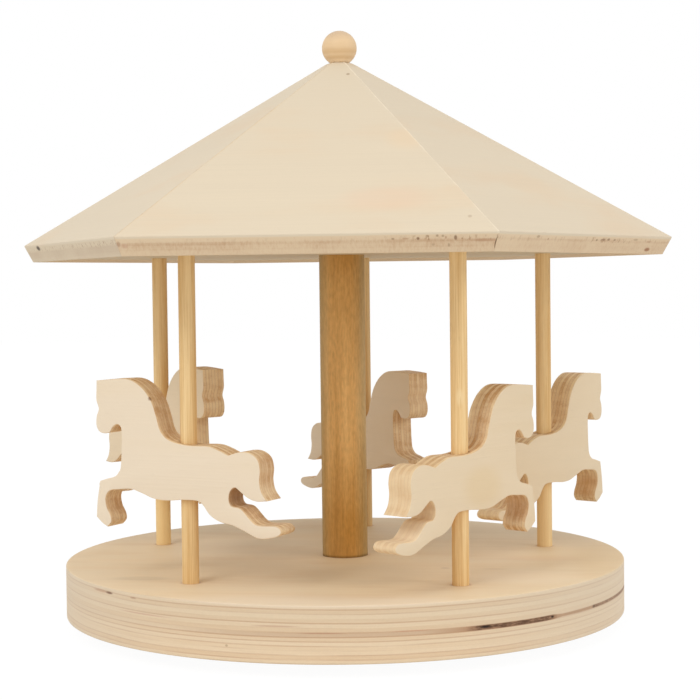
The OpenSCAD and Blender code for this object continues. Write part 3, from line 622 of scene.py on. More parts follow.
def roof_plywood(colours, number, pitch, peak, thick):
    """A roof panel: pale face veneer with its grain along the eave, the plies at the sawn eave, and
    the bare line where two veneers meet along a hip."""
    recipe = Recipe(f"roof_plywood_{number}")
    place = recipe.place()
    turn = hexagon_turn(number)
    plank = recipe.turned(place, (0, 0, peak / MM), (pitch, 0, turn))
    along, slope, out = recipe.split(plank)
    seed = 13.0 * number
    tone, _, lines = veneer(recipe, plank, seed, fine=0.07, broad=0.035)
    # Painted shade of each panel, by its height up the slope.
    near_eave, near_peak = PANEL_SHADE[number - 1]
    tone = tone * recipe.smooth(slope, -100.0, -20.0, 1 - near_eave, 1 - near_peak)
    warm = recipe.noise(plank, (0.016, 0.035, 0.035), detail=3.0, rough=0.6, seed=seed + 5)
    face = recipe.mix(recipe.smooth(warm, 0.5, 0.75) * 0.5, colours.roof_face,
                      colours.roof_face_warm)
    face = recipe.tint(face, tone)

    # The hip: bare veneer edges, by the distance from the plane between this panel and the next.
    level = recipe.split(recipe.turned(place, turn=(0, 0, turn)))
    hip = (-level[1] * tan(pi / PANELS) - abs(level[0])) * cos(pi / PANELS)
    ragged = recipe.noise(plank, 0.4, seed=seed + 9) * 0.5
    right = recipe.smooth(level[0], -1.0, 1.0)
    bare = recipe.mix(right, HIP_TONES[number - 2], HIP_TONES[number - 1])
    worn = recipe.noise(plank, 0.06, detail=3.0, seed=seed + 8)
    worn = recipe.smooth(worn, 0.35, 0.65, 0.15, 0.65)
    face = recipe.mix(recipe.smooth(hip - ragged, -0.2, 0.2, 1.0, 0.0) * worn, face, bare)

    # The sawn eave: the plies by their depth under the face, saw marks across them and torn nicks.
    drift = (recipe.noise(plank, 0.03, detail=1.0, seed=seed) - 0.5) * 0.35
    depth = drift - out
    patchy = recipe.noise(plank, 0.05, seed=seed + 4)
    patchy = recipe.smooth(patchy, 0.3, 0.7, 0.55, 1.0)
    threads = recipe.noise(plank, (0.06, 2.2, 2.2), detail=3.0, rough=0.6, seed=seed + 1)
    flecks = recipe.noise(plank, (1.5, 0.6, 0.6), detail=3.0, rough=0.7, seed=seed + 2)
    torn = recipe.noise(plank, (1.0, 0.5, 0.45), detail=3.0, rough=0.6, seed=seed + 6)
    share = depth / (thick / MM)
    plies = recipe.ramp(share, EAVE_PLIES.get(number, EAVE_PLIES[0]))
    browned = plies * patchy + (threads - 0.5) * 0.2 + (flecks - 0.5) + along * 0.0012
    cut = recipe.mix(recipe.smooth(browned, -0.1, 1.1), colours.eave_light, colours.eave_brown)
    if number in EAVE_GREYED:
        cut = recipe.mix(EAVE_GREYED[number], cut, colours.grey_eave)
    cut = recipe.tint(cut, 1 + (flecks - 0.5) * 0.16)
    tear = recipe.smooth(abs(share - TORN_LINE), 0.08, 0.16, 1.0, 0.0)
    tear = tear * recipe.smooth(torn, 0.56, 0.64)
    tear = tear * recipe.ramp(along * 0.005 + 0.5, EAVE_TORN.get(number, EAVE_TORN[0]))
    cut = recipe.mix(tear, cut, colours.torn_eave)
    rim = recipe.smooth(depth, 0.5, 1.1)
    tone = recipe.mix(rim, face, cut)
    tone = stained(recipe, tone, plank, marks_of(ROOF_MARKS, number))
    height = lines * (1 - rim) + (flecks + threads * 0.5) * rim
    return recipe.surface(tone, 0.60 + (lines - 0.5) * 0.15, height, 0.05, shine=0.2)


# How brown the eave is by its depth under the face, as shares of the panel's thickness. 0 stands
# for the panels that have no row of their own.
EAVE_PLIES = {
    0: [(0.0, 0.0), (0.10, 0.0), (0.18, 0.08), (0.28, 0.18), (0.33, 0.50), (0.40, 0.58),
        (0.48, 0.40), (0.58, 0.38), (0.64, 0.42), (0.70, 0.28), (0.86, 0.22), (0.94, 0.0),
        (1.0, 0.0)],
    2: [(0.0, 0.0), (0.12, 0.02), (0.24, 0.20), (0.29, 0.45), (0.34, 0.40), (0.40, 0.25),
        (0.62, 0.35), (0.86, 0.25), (0.94, 0.05), (1.0, 0.0)],
    6: [(0.0, 0.0), (0.12, 0.0), (0.30, 0.0), (0.42, 0.62), (0.66, 0.55), (0.85, 0.25),
        (0.95, 0.05), (1.0, 0.0)],
}

# How grey the eave is, where it is greyer than the others.
EAVE_GREYED = {6: 0.45}

# How torn the upper plies are along each eave: places 0 and 1 are 100 mm to its left and right.
EAVE_TORN = {
    0: [(0.25, 0.25), (0.75, 0.25)],
    1: [(0.50, 0.10), (0.655, 0.15), (0.68, 0.60), (0.74, 0.55), (0.77, 0.35)],
    2: [(0.30, 0.25), (0.45, 0.2), (0.53, 0.55), (0.60, 0.45), (0.72, 0.25)],
    6: [(0.0, 0.0), (1.0, 0.0)],
}

# Painted shade: how much darker each panel's veneer is near the eave and near the peak than the
# front panel's.
PANEL_SHADE = ((0.0, 0.03), (0.02, 0.06), (0.02, 0.03), (0.01, 0.02), (0.03, 0.03), (0.015, 0.03))

# The bare line along the hip to the right of each panel, from the front panel on.
PALE_HIP, TAN_HIP = screen(246, 232, 208), screen(222, 194, 152)
HIP_TONES = (PALE_HIP, TAN_HIP) * 3

# Small knots and warm patches: panel, place (along the eave, up the slope from the peak, out from
# the face) in millimetres, size, strength and colour. EAVE is the eave's place on the slope.
EAVE = -122.0
ROOF_MARKS = [
    (1, (4.3, -14.3, 0), (0.8, 1.0, 2), 0.6, (150, 120, 88)),
    (1, (23.4, -101.2, 0), (17, 9, 3), 0.35, (232, 198, 168)),
    (1, (28.2, -62.3, 0), (9, 9, 3), 0.30, (234, 204, 166)),
    (1, (49.8, -112.6, 0), (0.8, 1.0, 2), 0.4, (170, 140, 108)),
]

# Torn spots of the sawn eaves: panel, place along the eave and out from the face, width, height,
# strength and colour.
TORN, RUST = (124, 88, 60), (164, 112, 80)
EAVE_MARKS = (
    (1, 26.8, -2.05, 0.6, 0.4, 0.5, TORN),
    (1, 30.7, -2.0, 1.3, 0.35, 0.4, RUST),
    (1, 34.4, -2.05, 0.6, 0.6, 0.8, TORN),
    (1, 37.2, -1.3, 0.5, 0.5, 0.4, TORN),
    (1, 40.2, -1.2, 0.5, 0.5, 0.5, TORN),
    (1, 41.9, -1.3, 0.5, 0.5, 0.45, TORN),
    (1, 42.8, -1.8, 0.4, 0.6, 0.45, RUST),
    (1, 45.7, -1.9, 0.6, 1.0, 0.75, TORN),
    (1, 43.6, -4.3, 0.4, 0.8, 0.4, TORN),
    (1, 38.9, -4.1, 0.6, 0.5, 0.25, TORN),
    (1, 54.4, -2.8, 5.0, 0.6, 0.4, RUST),
    (1, -55.7, -3.2, 1.4, 1.0, 0.35, (190, 140, 116)),
    (1, -57.6, -2.6, 0.8, 1.2, 0.5, (160, 116, 92)),
    (2, -34.3, -1.35, 1.3, 0.6, 0.4, TORN),
    (2, -27.7, -2.1, 0.6, 0.5, 0.5, RUST),
    (2, 4.3, -2.0, 0.8, 0.5, 0.6, TORN),
    (2, 8.6, -1.85, 2.2, 0.4, 0.55, TORN),
    (2, 12.4, -1.7, 1.1, 0.55, 0.7, TORN),
    (2, 16.8, -1.8, 1.0, 0.45, 0.5, TORN),
    (2, 31.9, -1.5, 2.2, 0.45, 0.35, TORN),
    (2, 42.4, -2.1, 2.4, 0.45, 0.35, RUST),
    (2, 43.4, -5.0, 2.4, 0.9, 0.85, (156, 104, 70)),
    (6, -39.6, -1.4, 2.9, 1.15, 0.95, (84, 68, 50)),
)
ROOF_MARKS += [(panel, (along, EAVE, out), (width, 4, height), *look)
               for panel, along, out, width, height, *look in EAVE_MARKS]


def horse_plywood(colours, sizes, number, centre, heading, thick):
    """A horse: pale face veneers, and plies that run round its sawn edge, darker where the grain
    of a ply is cut across."""
    recipe = Recipe(f"horse_plywood_{number}")
    turn = (0, 0, radians(heading))
    plank = recipe.turned(recipe.place(), tuple(c / MM for c in centre), turn)
    normal = recipe.turned(recipe.facing(), turn=turn)
    forward, side, _ = recipe.split(plank)
    n_forward, n_side, n_up = recipe.split(normal)
    seed = 17.0 * number
    drift = (recipe.noise(plank, 0.16, seed=seed) - 0.5) * 0.9
    half = thick / MM / 2
    ply = (side + drift + half) / (2 * half / sizes.horse_plies)
    layer = ply.floor()
    upright = layer % 2
    end = upright * abs(n_up) + (1 - upright) * abs(n_forward)
    own = recipe.chance(layer + seed)
    rise, run = (recipe.noise(plank, stretch, detail=3.0, rough=0.65, seed=seed + step)
                 for stretch, step in (((1.8, 1.8, 0.12), 1), ((0.12, 1.8, 1.8), 2)))
    fibres = upright * rise + (1 - upright) * run
    waves = recipe.noise(plank, (0.35, 0.10, 0.35), seed=seed + 3)
    glue = recipe.smooth(abs(ply - (ply + 0.5).floor()), 0.02, 0.16, 1.0, 0.0)
    deep = end * 0.35 + upright * 0.27 + own * 0.28 + (fibres + waves - 1.0) - 0.01
    glued = 0.4
    if number == CALM_HORSE:
        calm = recipe.smooth(forward, -18.0, -6.0)
        deep = (deep - 0.45) * (0.4 + calm * 0.6) + 0.40 + calm * 0.05
        glued = 0.15 + calm * 0.25
    deep = deep - HORSE_PALENESS[number - 1]
    cut = recipe.mix(recipe.smooth(deep, 0.0, 1.1), colours.horse_edge, colours.horse_edge_deep)
    cut = recipe.mix(glue * glued, cut, colours.glue_line)
    cut = recipe.tint(cut, 1 + (fibres - 0.5) * 0.16)
    cut = stained(recipe, cut, plank, marks_of(EDGE_MARKS, number))
    tone, bands, lines = veneer(recipe, plank, seed, fine=0.03, broad=0.03)
    warmth = HORSE_WARMTH[number - 1] + recipe.smooth(bands, 0.5, 0.8) * 0.2
    face = recipe.tint(recipe.mix(warmth, colours.horse_face, colours.horse_face_warm), tone)
    rim = recipe.smooth(abs(n_side), 0.5, 0.85)
    tone = stained(recipe, recipe.mix(rim, cut, face), plank, marks_of(HORSE_MARKS, number))
    height = lines * rim + (fibres + waves * 0.6 - glue * 0.4) * (1 - rim)
    return recipe.surface(tone, 0.62 + (fibres - 0.5) * 0.12, height, 0.09)


# The horse whose plies differ less at the rump and the tail.
CALM_HORSE = 2

# How warm each horse's veneer is.
HORSE_WARMTH = (0.0, 0.40, 0.45, 0.05, 0.40)

# How much paler the plies of each horse's sawn edge are.
HORSE_PALENESS = (0.0, 0.0, 0.13, 0.0, 0.15)

# Nicks and patches in the horses: horse, (forward, side, up) in millimetres, size, strength and
# colour.
HORSE_MARKS = (
    (1, (12.1, 4.3, 44.0), (0.9, 0.8, 1.0), 0.8, (140, 94, 60)),
    (2, (6, -5, 18), (12, 3, 8), 0.35, (226, 196, 144)),
)

# Paler and deeper places of the sawn edges alone, written in the same way. The first row is painted
# shade in the hollow between the first horse's tail and hind leg.
EDGE_MARKS = (
    (1, (-16.3, 0, 14.5), (5.6, 9, 6.5), 0.65, (150, 96, 44)),
    (1, (-28.5, 0, 21.0), (6, 9, 8), 0.3, (184, 132, 84)),
    (1, (16, 0, 40), (14, 9, 14), 0.15, (186, 136, 80)),
    (2, (-28, 0, 7), (14, 9, 7), 0.45, (250, 231, 200)),
    (2, (30, 0, 8.7), (7, 9, 7), 0.3, (186, 132, 84)),
    (2, (13, 4.4, 46), (13, 2.6, 12), 0.5, (244, 220, 178)),
    (3, (33, 0, 5.5), (8, 9, 7), 0.45, (200, 140, 70)),
    (3, (-37, 0, 6), (10, 9, 7), 0.6, (238, 214, 174)),
    (4, (32, 0, 40), (8, 9, 8), 0.35, (238, 210, 172)),
)


def dowel_wood(name, light, dark, seed, contrast=0.9, broad=1.0, grain=(2.2, 2.2, 0.035),
               fleck=(4.0, 4.0, 0.25), flecked=0.12, deepened=None, marks=()):
    """Straight-grained wood whose grain runs upright: fine and broad streaks and short flecks.
    deepened gives its lowest and highest point, and how deep its colour is between them."""
    recipe = Recipe(name)
    place = recipe.place()
    fine = recipe.noise(place, grain, detail=4.0, rough=0.65, seed=seed)
    wide = recipe.noise(place, (0.35, 0.35, 0.012), seed=seed + 2)
    pores = recipe.noise(place, fleck, seed=seed + 4)
    open_pores = recipe.smooth(pores, 0.62, 0.75)
    blend = recipe.smooth((fine - 0.5) * contrast + (wide - 0.5) * broad + 0.5, 0.2, 0.8)
    tone = stained(recipe, recipe.mix(blend, dark, light), place, marks)
    tone = recipe.tint(tone, 1 + (pores - 0.5) * flecked - open_pores * 0.06)
    if deepened:
        low, high, stops = deepened
        x, _, z = recipe.split(place)
        share = (z - low) / (high - low) + (wide - 0.5) * 0.12
        # Painted shade: the column darkens towards its left and right sides, and its deep colour
        # differs between them.
        quarter = recipe.smooth(abs(x) + (wide - 0.5) * 3.0, 3.6, 8.2)
        deep = recipe.ramp(share, stops) * (1 - quarter * 0.3)
        deeper = recipe.mix(recipe.smooth(x, -5.0, 3.0), *DEEPER)
        tone = recipe.vector("MULTIPLY", tone, recipe.mix(deep, PALER, deeper))
        tone = recipe.vector("MULTIPLY", tone, recipe.mix(quarter, (1.0, 1.0, 1.0), SIDE_SHADE))
        # The shadow of the joint at the foot.
        tone = recipe.tint(tone, recipe.smooth(z, low + 0.2, low + 1.2, 0.55, 1.0))
    return recipe.surface(tone, 0.65 + (fine - 0.5) * 0.2, fine - open_pores, 0.05, shine=0.12)


# The column's colour where it is palest, and where it is deepest on its left and on its right, as
# shares of its plain colour. The left and right colours differ as painted shade of its two sides.
PALER, DEEPER = (1.10, 1.15, 1.23), ((0.78, 0.73, 0.60), (0.76, 0.67, 0.45))
# Painted shade: the column's left and right sides are darker and duller.
SIDE_SHADE = (0.73, 0.86, 1.08)
# How deep the column's colour is from its foot to its top.
COLUMN_DEPTH = [(0.0, 0.9), (0.07, 1.0), (0.126, 1.0), (0.18, 0.8), (0.24, 0.62), (0.29, 0.5),
                (0.345, 0.2), (0.40, 0.06), (0.51, 0.0), (0.62, 0.12), (0.72, 0.25), (0.78, 0.38),
                (0.84, 0.5), (0.89, 0.6), (0.94, 0.84), (1.0, 1.0)]


# How deep the ball's colour is from its foot to its top.
BALL_DEPTH = [(0.0, 0.0), (0.06, 0.2), (0.14, 0.8), (0.22, 0.25), (0.3, 0.9), (0.37, 0.75),
              (0.45, 0.3), (0.7, 0.2), (1.0, 0.15)]


def ball_wood(colours):
    """The ball: grain that shows as level rings round it, deeper below its middle, with a grey top
    and painted light at its foot."""
    recipe = Recipe("ball_wood")
    place = recipe.place()
    z = recipe.split(place)[2]
    low, high = box_of("finial_ball")
    lines = recipe.noise(place, (0.12, 0.12, 1.8), detail=4.0, rough=0.6, seed=3)
    bend = (recipe.noise(place, 0.12, detail=1.0, seed=8) - 0.5) * 1.4
    share = (z + bend - low[2] / MM) / ((high[2] - low[2]) / MM)
    tone = recipe.mix(recipe.ramp(share, BALL_DEPTH) * 0.55, colours.ball, colours.ball_band)
    # Painted light: the foot is lifted against the shade where the ball meets the peak.
    foot = recipe.smooth(share, 0.0, 0.12, 1.25, 1.0)
    tone = recipe.tint(tone, (1 + (lines - 0.5) * 0.10) * foot)
    tone = recipe.mix(recipe.smooth(share, 0.6, 1.0) * 0.5, tone, colours.ball_top)
    tone = recipe.mix(recipe.smooth(share, 0.0, 0.12, 0.6, 0.0), tone, colours.ball_foot_light)
    return recipe.surface(tone, 0.55 + (lines - 0.5) * 0.1, lines, 0.03, shine=0.4)


def plain_plywood(name, face, seed):
    """Sheet wood of the hidden parts and the ceiling: a face veneer with its grain along X."""
    recipe = Recipe(name)
    place = recipe.place()
    tone, bands, lines = veneer(recipe, place, seed, fine=0.10, broad=0.12)
    return recipe.surface(recipe.tint(face, tone), 0.65 + (bands - 0.5) * 0.1, lines, 0.05)


def turned_metal(name, face, seed, roughness):
    """Machined metal with fine tool marks and a little tarnish."""
    recipe = Recipe(name)
    place = recipe.place()
    marks = recipe.noise(place, (3.0, 3.0, 9.0), detail=3.0, seed=seed)
    tarnish = recipe.noise(place, 0.25, detail=3.0, seed=seed + 2)
    tone = recipe.tint(face, 0.92 + (tarnish - 0.5) * 0.3)
    roughness = roughness + (tarnish - 0.5) * 0.2
    return recipe.surface(tone, roughness, marks, 0.01, shine=0.5, metal=1.0)


def moulded(name, face, seed, roughness):
    """Rubber or nylon with a fine moulded grain."""
    recipe = Recipe(name)
    place = recipe.place()
    grain = recipe.noise(place, 6.0, seed=seed)
    tone = recipe.tint(face, 0.95 + (grain - 0.5) * 0.2)
    return recipe.surface(tone, roughness + (grain - 0.5) * 0.15, grain, 0.03)


# ---- Operators: one for each piece or group of like pieces ----


class CarouselOperator:
    """What every operator shares: where to find the sizes and colours."""

    bl_options = {"REGISTER", "UNDO"}

    def settings(self, context):
        return context.scene.carousel_sizes, context.scene.carousel_colours


# The wall between the movement and its pocket, the depth of the voids, and the longest step up the
# board's rim and across its faces.
POCKET_RIM, VOID_DEPTH = 1.5 * MM, 0.45 * MM
RIM_STEP, FACE_STEP = 0.5 * MM, 8.0 * MM


class CAROUSEL_OT_board(CarouselOperator, bpy.types.Operator):
    """Turns the base board, with its eased rims, its pocket and the voids in its edge"""

    bl_idname = "carousel.board"
    bl_label = "Base board"

    def execute(self, context):
        sizes, colours = self.settings(context)
        low, high = box_of("base_disc")
        pocket = box_of("bedplate")[1][0] + POCKET_RIM
        roof = box_of("drive_hub")[1][2]
        ease = sizes.board_ease
        corners = [(0, high[2]), (high[0], high[2]), (high[0], low[2]), (pocket, low[2]),
                   (pocket, roof), (0, roof)]
        profile = rounded(corners, (ease, ease, ease / 2, ease / 2))
        outer = np.minimum(profile[:-1, 0], profile[1:, 0]) > high[0] - 1.01 * ease
        wall = filled(profile, np.where(outer, RIM_STEP, FACE_STEP))

        def voids(angle, radius, height):
            """Dents as deep as the marks are dark: VOID_DEPTH exp(-u^2 - v^2), where u and v go
            round and up the rim as shares of the void's width and rise."""
            on_wall = radius > high[0] - ease / 2
            depth = 0
            for centre, size, strength, _ in BOARD_MARKS[:VOIDS]:
                turn = np.arctan2(centre[1], centre[0])
                u = np.angle(np.exp(1j * (angle - turn))) * radius / MM / size[0]
                v = (height / MM - centre[2]) / size[2]
                depth = depth + strength * np.exp(-u ** 2 - v ** 2)
            return -VOID_DEPTH * depth * on_wall

        piece = lathe("base_board", wall, BOARD_TURNS, shift=voids, sharp=50)
        finish_piece(piece, "carousel", board_plywood(colours, sizes), "base_disc")
        return {"FINISHED"}


# The longest step round a panel's eave and along its faces, and how far in from the eave its lip
# and the open joint fade out.
EAVE_STEP, PANEL_STEP = 0.8 * MM, 6.0 * MM
LIP_FADE, JOINT_FADE = 1.4 * MM, 4 * MM
OPEN_PANEL = 1


class CAROUSEL_OT_roof(CarouselOperator, bpy.types.Operator):
    """Cuts the roof panels with their mitred hips and eased eaves, and finishes the ceiling"""

    bl_idname = "carousel.roof"
    bl_label = "Roof and ceiling"

    def execute(self, context):
        sizes, colours = self.settings(context)
        section = roof_section()
        eave = -box_of("roof_panel_1")[0][1]
        pitch = np.arctan2(section["rise"], eave)
        for number in range(1, PANELS + 1):
            material = roof_plywood(colours, number, pitch, section["peak"], section["thick"])
            piece = self.panel(number, section["corners"], sizes)
            finish_piece(piece, "carousel", material, f"roof_panel_{number}")
        refinish("ceiling_plate", plain_plywood("ceiling_plywood", tuple(colours.ceiling), 21))
        return {"FINISHED"}

    def panel(self, number, loop, sizes):
        """A panel's radial section (distance out, height), carried between its two hips: at the
        distance a, point u of the width lies at u (a tan 30 - gap), for u from -1 to 1."""
        half_turn = pi / PANELS
        ease = sizes.panel_ease
        slight = 0.3 * ease
        ring = rounded(np.vstack([loop[-1:], loop, loop[:1]]),
                       (slight, 0.35 * ease, ease, slight, slight))[1:-1]
        at_eave = np.minimum(ring[:-1, 0], ring[1:, 0]) > loop[0, 0] - ease
        ring = filled(ring, np.where(at_eave, EAVE_STEP, PANEL_STEP))
        out, height = ring.T[:, :, None]
        share = np.linspace(-1, 1, PANEL_COLUMNS)[None, :]
        half = out * tan(half_turn) - sizes.hip_gap / 2 / cos(half_turn)
        fall = (loop[1, 1] - height) / (loop[1, 1] - loop[0, 1])
        side = share * half
        if number == OPEN_PANEL:
            # The joint to the right gapes in the middle of the eave and closes again at its foot.
            gape = np.interp(fall, [0.28, 0.45, 0.7, 0.85], [0, 1, 0.8, 0])
            near = np.interp(out, [loop[0, 0] - JOINT_FADE, loop[0, 0]], [0, 1])
            side = side - np.clip(share, 0, 1) ** 12 * sizes.open_joint * gape * near
        lip = np.interp(out, [loop[0, 0] - LIP_FADE, loop[0, 0]], [0, 1])
        height = height - sizes.eave_lip * np.clip(fall, 0, 1) * lip
        flat = np.stack(np.broadcast_arrays(side, -out, height), axis=-1)
        rows, columns = flat.shape[:2]
        skin = strips(rows + 1, columns, wrap=False) % (rows * columns)
        left = np.arange(rows)[None, :] * columns
        right = left[:, ::-1] + columns - 1
        return build(f"roof_leaf_{number}", turned_about_z(flat, hexagon_turn(number)),
                     [skin, left, right], sharp=30)


# How close to a level a packed point has to lie to count as on it, and how far from the axis the
# points under the peak end.
NEAR, PEAK_REACH = 0.1 * MM, 3 * MM


def roof_section():
    """The radial section of a roof panel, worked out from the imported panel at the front: its
    corners from the foot of the eave up, its rise, its peak and its thickness."""
    points = packed_points("roof_panel_1")
    out, height = -points[:, 1], points[:, 2]
    low, flat, eave = height.min(), height.max(), out.max()
    eave_top = height[out > eave - NEAR].max()
    eave_low = out[height < low + NEAR].max()
    flat_out = out[height > flat - NEAR].max()
    rise = (flat - eave_top) / (eave - flat_out) * eave
    peak = eave_top + rise
    under = height[out < PEAK_REACH].min()
    thick = (peak - under) * cos(np.arctan(rise / eave))
    under_out = out[height < under + NEAR].min()
    corners = np.array([(eave_low, low), (eave, eave_top), (flat_out, flat), (under_out, flat),
                        (under_out, under)])
    return {"corners": corners, "rise": rise, "peak": peak, "thick": thick}


# Arches of grain, and painted light on the feet of the third and fifth poles: pole, centre, size,
# strength and colour.
POLE_MARKS = (
    (2, (44.9, -64.1, 84.0), (1.5, 3.0, 3.4), 0.5, (250, 224, 176)),
    (2, (45.1, -64.1, 82.0), (0.35, 3.0, 2.6), 0.35, (222, 178, 112)),
    (3, (72.1, 23.4, 30.0), (9.0, 9.0, 26.0), 0.55, (252, 224, 172)),
    (5, (-72.1, 23.4, 27.0), (9.0, 9.0, 20.0), 0.75, (252, 222, 164)),
)

# The colour of each pole as a share of the plain dowel's. The fourth pole's is darker as painted
# shade.
POLE_LIFT = (1.0, 1.05, 1.0, 0.92, 1.0)


# How far the poles and the column are out of round.
POLE_WAVE, COLUMN_WAVE = 0.02 * MM, 0.05 * MM


class CAROUSEL_OT_poles(CarouselOperator, bpy.types.Operator):
    """Turns the poles that carry the roof and the horses"""

    bl_idname = "carousel.poles"
    bl_label = "Poles"

    def execute(self, context):
        sizes, colours = self.settings(context)
        for number in range(1, HORSES + 1):
            light, dark = (tuple(c * POLE_LIFT[number - 1] for c in tone)
                           for tone in (colours.dowel_light, colours.dowel_dark))
            material = dowel_wood(f"dowel_wood_{number}", light, dark, 31.0 * number,
                                  marks=marks_of(POLE_MARKS, number))
            piece = dowel(f"pole_dowel_{number}", *dowel_place(f"pole_{number}"),
                          sizes.dowel_ease, POLE_WAVE)
            finish_piece(piece, "carousel", material, f"pole_{number}")
        return {"FINISHED"}


class CAROUSEL_OT_column(CarouselOperator, bpy.types.Operator):
    """Turns the centre column"""

    bl_idname = "carousel.column"
    bl_label = "Centre column"

    def execute(self, context):
        sizes, colours = self.settings(context)
        low, high = box_of("centre_column")
        material = dowel_wood("column_wood", colours.column_light, colours.column_dark, 5.0,
                              contrast=0.34, broad=0.36, grain=(1.9, 1.9, 0.12),
                              fleck=(1.4, 1.4, 0.4), flecked=0.5,
                              deepened=(high_of_board(), high[2] / MM, COLUMN_DEPTH))
        piece = dowel("column_dowel", (0, 0), high[0], low[2], high[2], sizes.dowel_ease,
                      COLUMN_WAVE, COLUMN_TURNS)
        finish_piece(piece, "carousel", material, "centre_column")
        return {"FINISHED"}


# A height above the hooves that lies below the belly.
BELLY = 5 * MM


class CAROUSEL_OT_horses(CarouselOperator, bpy.types.Operator):
    """Saws the horses from sheet wood, eases their edges and bores them for their poles"""

    bl_idname = "carousel.horses"
    bl_label = "Horses"

    def execute(self, context):
        sizes, colours = self.settings(context)
        outline = horse_curve()
        for number in range(1, HORSES + 1):
            heading = HORSE_HEADINGS[number - 1]
            middle, radius, _, _ = dowel_place(f"pole_{number}")
            hoof = box_of(f"horse_{number}")[0][2]
            thick = self.thickness(number, heading)
            centre = (*middle, hoof)
            piece = self.plate(number, outline, centre, heading, thick, sizes.horse_ease)
            top = hoof + outline[:, 1].max() * MM
            drill(piece, tuple(middle), radius + sizes.pole_play, hoof + BELLY, top)
            material = horse_plywood(colours, sizes, number, centre, heading, thick)
            finish_piece(piece, f"rider_{number}", material, f"horse_{number}")
        return {"FINISHED"}

    def thickness(self, number, heading):
        """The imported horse's reach along the normal of its faces."""
        normal = np.array([-sin(radians(heading)), cos(radians(heading)), 0])
        return float(np.ptp(packed_points(f"horse_{number}") @ normal))

    def plate(self, number, outline, centre, heading, thick, ease):
        """The outline carried through the sheet's thickness: row k lies at the side s_k and inside
        the outline by i_k, where (i, s) goes round a quarter circle of radius ease at each face."""
        turn = np.linspace(0, pi / 2, EDGE_ROWS)
        inset = ease * (1 - np.cos(turn))
        side = thick / 2 - ease + ease * np.sin(turn)
        inset = np.concatenate([inset[::-1], inset])[:, None]
        side = np.concatenate([side[::-1], -side])[:, None]
        tangent = np.roll(outline, -1, axis=0) - np.roll(outline, 1, axis=0)
        inward = np.stack([-tangent[:, 1], tangent[:, 0]], axis=-1)
        inward = inward / np.linalg.norm(inward, axis=1, keepdims=True)
        forward = outline[None, :, 0] * MM + inset * inward[None, :, 0]
        up = outline[None, :, 1] * MM + inset * inward[None, :, 1]
        flat = np.stack(np.broadcast_arrays(forward, side, up), axis=-1)
        points = turned_about_z(flat, radians(heading)) + np.array(centre)
        rows, columns = flat.shape[:2]
        skin = strips(rows, columns)[:, ::-1]
        far = np.arange(columns)[None, :] + (rows - 1) * columns
        near = np.arange(columns)[None, ::-1]
        return build(f"horse_plate_{number}", points, [skin, near, far], sharp=35)


def horse_curve(steps=8):
    """The horse's outline as a closed Hermite curve through its points, in millimetres. The slope
    at a point is half the way between its neighbours, and at a corner the way to the next or from
    the last point."""
    spot = HORSE_OUTLINE
    corner = np.isin(np.arange(len(spot)), HORSE_CORNERS)[:, None]
    ahead, behind, further = np.roll(spot, -1, 0), np.roll(spot, 1, 0), np.roll(spot, -2, 0)
    leave = np.where(corner, ahead - spot, (ahead - behind) / 2)[:, None, :]
    arrive = np.where(np.roll(corner, -1, 0), ahead - spot, (further - spot) / 2)[:, None, :]
    u = (np.arange(steps) / steps)[None, :, None]
    curve = ((2 * u ** 3 - 3 * u ** 2 + 1) * spot[:, None, :] + (u ** 3 - 2 * u ** 2 + u) * leave
             + (3 * u ** 2 - 2 * u ** 3) * ahead[:, None, :] + (u ** 3 - u ** 2) * arrive)
    return curve.reshape(-1, 2)


class CAROUSEL_OT_finial(CarouselOperator, bpy.types.Operator):
    """Turns the ball on the peak and finishes the pin under it"""

    bl_idname = "carousel.finial"
    bl_label = "Ball and pin"

    def execute(self, context):
        _, colours = self.settings(context)
        low, high = box_of("finial_ball")
        radius = high[0]
        centre = high[2] - radius
        tilt = np.linspace(0, np.arccos((low[2] - centre) / radius), BALL_ROWS)
        profile = np.stack([radius * np.sin(tilt), centre + radius * np.cos(tilt)], axis=-1)
        piece = lathe("ball", np.vstack([profile, [(0, low[2])]]), BALL_TURNS)
        finish_piece(piece, "carousel", ball_wood(colours), "finial_ball")
        wood = dowel_wood("pin_wood", colours.dowel_light, colours.dowel_dark, 77.0)
        refinish("finial_pin", wood)
        return {"FINISHED"}


class CAROUSEL_OT_movement(CarouselOperator, bpy.types.Operator):
    """Finishes the foot and the movement that the base board hides"""

    bl_idname = "carousel.movement"
    bl_label = "Foot and movement"

    # Each slot's kind of finish, colour, seed and roughness.
    slots = (
        ("foot_wood", plain_plywood, (220, 194, 158), 41),
        ("rubber", moulded, (44, 44, 44), 43, 0.8),
        ("nylon", moulded, (238, 236, 226), 47, 0.45),
        ("plate_steel", turned_metal, (200, 202, 206), 51, 0.35),
        ("spring_steel", turned_metal, (160, 164, 172), 53, 0.28),
        ("brass", turned_metal, (226, 190, 110), 57, 0.25),
    )

    def execute(self, context):
        finishes = {slot: finish(slot, screen(*tone), *rest)
                    for slot, finish, tone, *rest in self.slots}
        for part in frame["record"]["subparts"]:
            if part["material_slot"] in finishes:
                refinish(part["node"], finishes[part["material_slot"]])
        return {"FINISHED"}


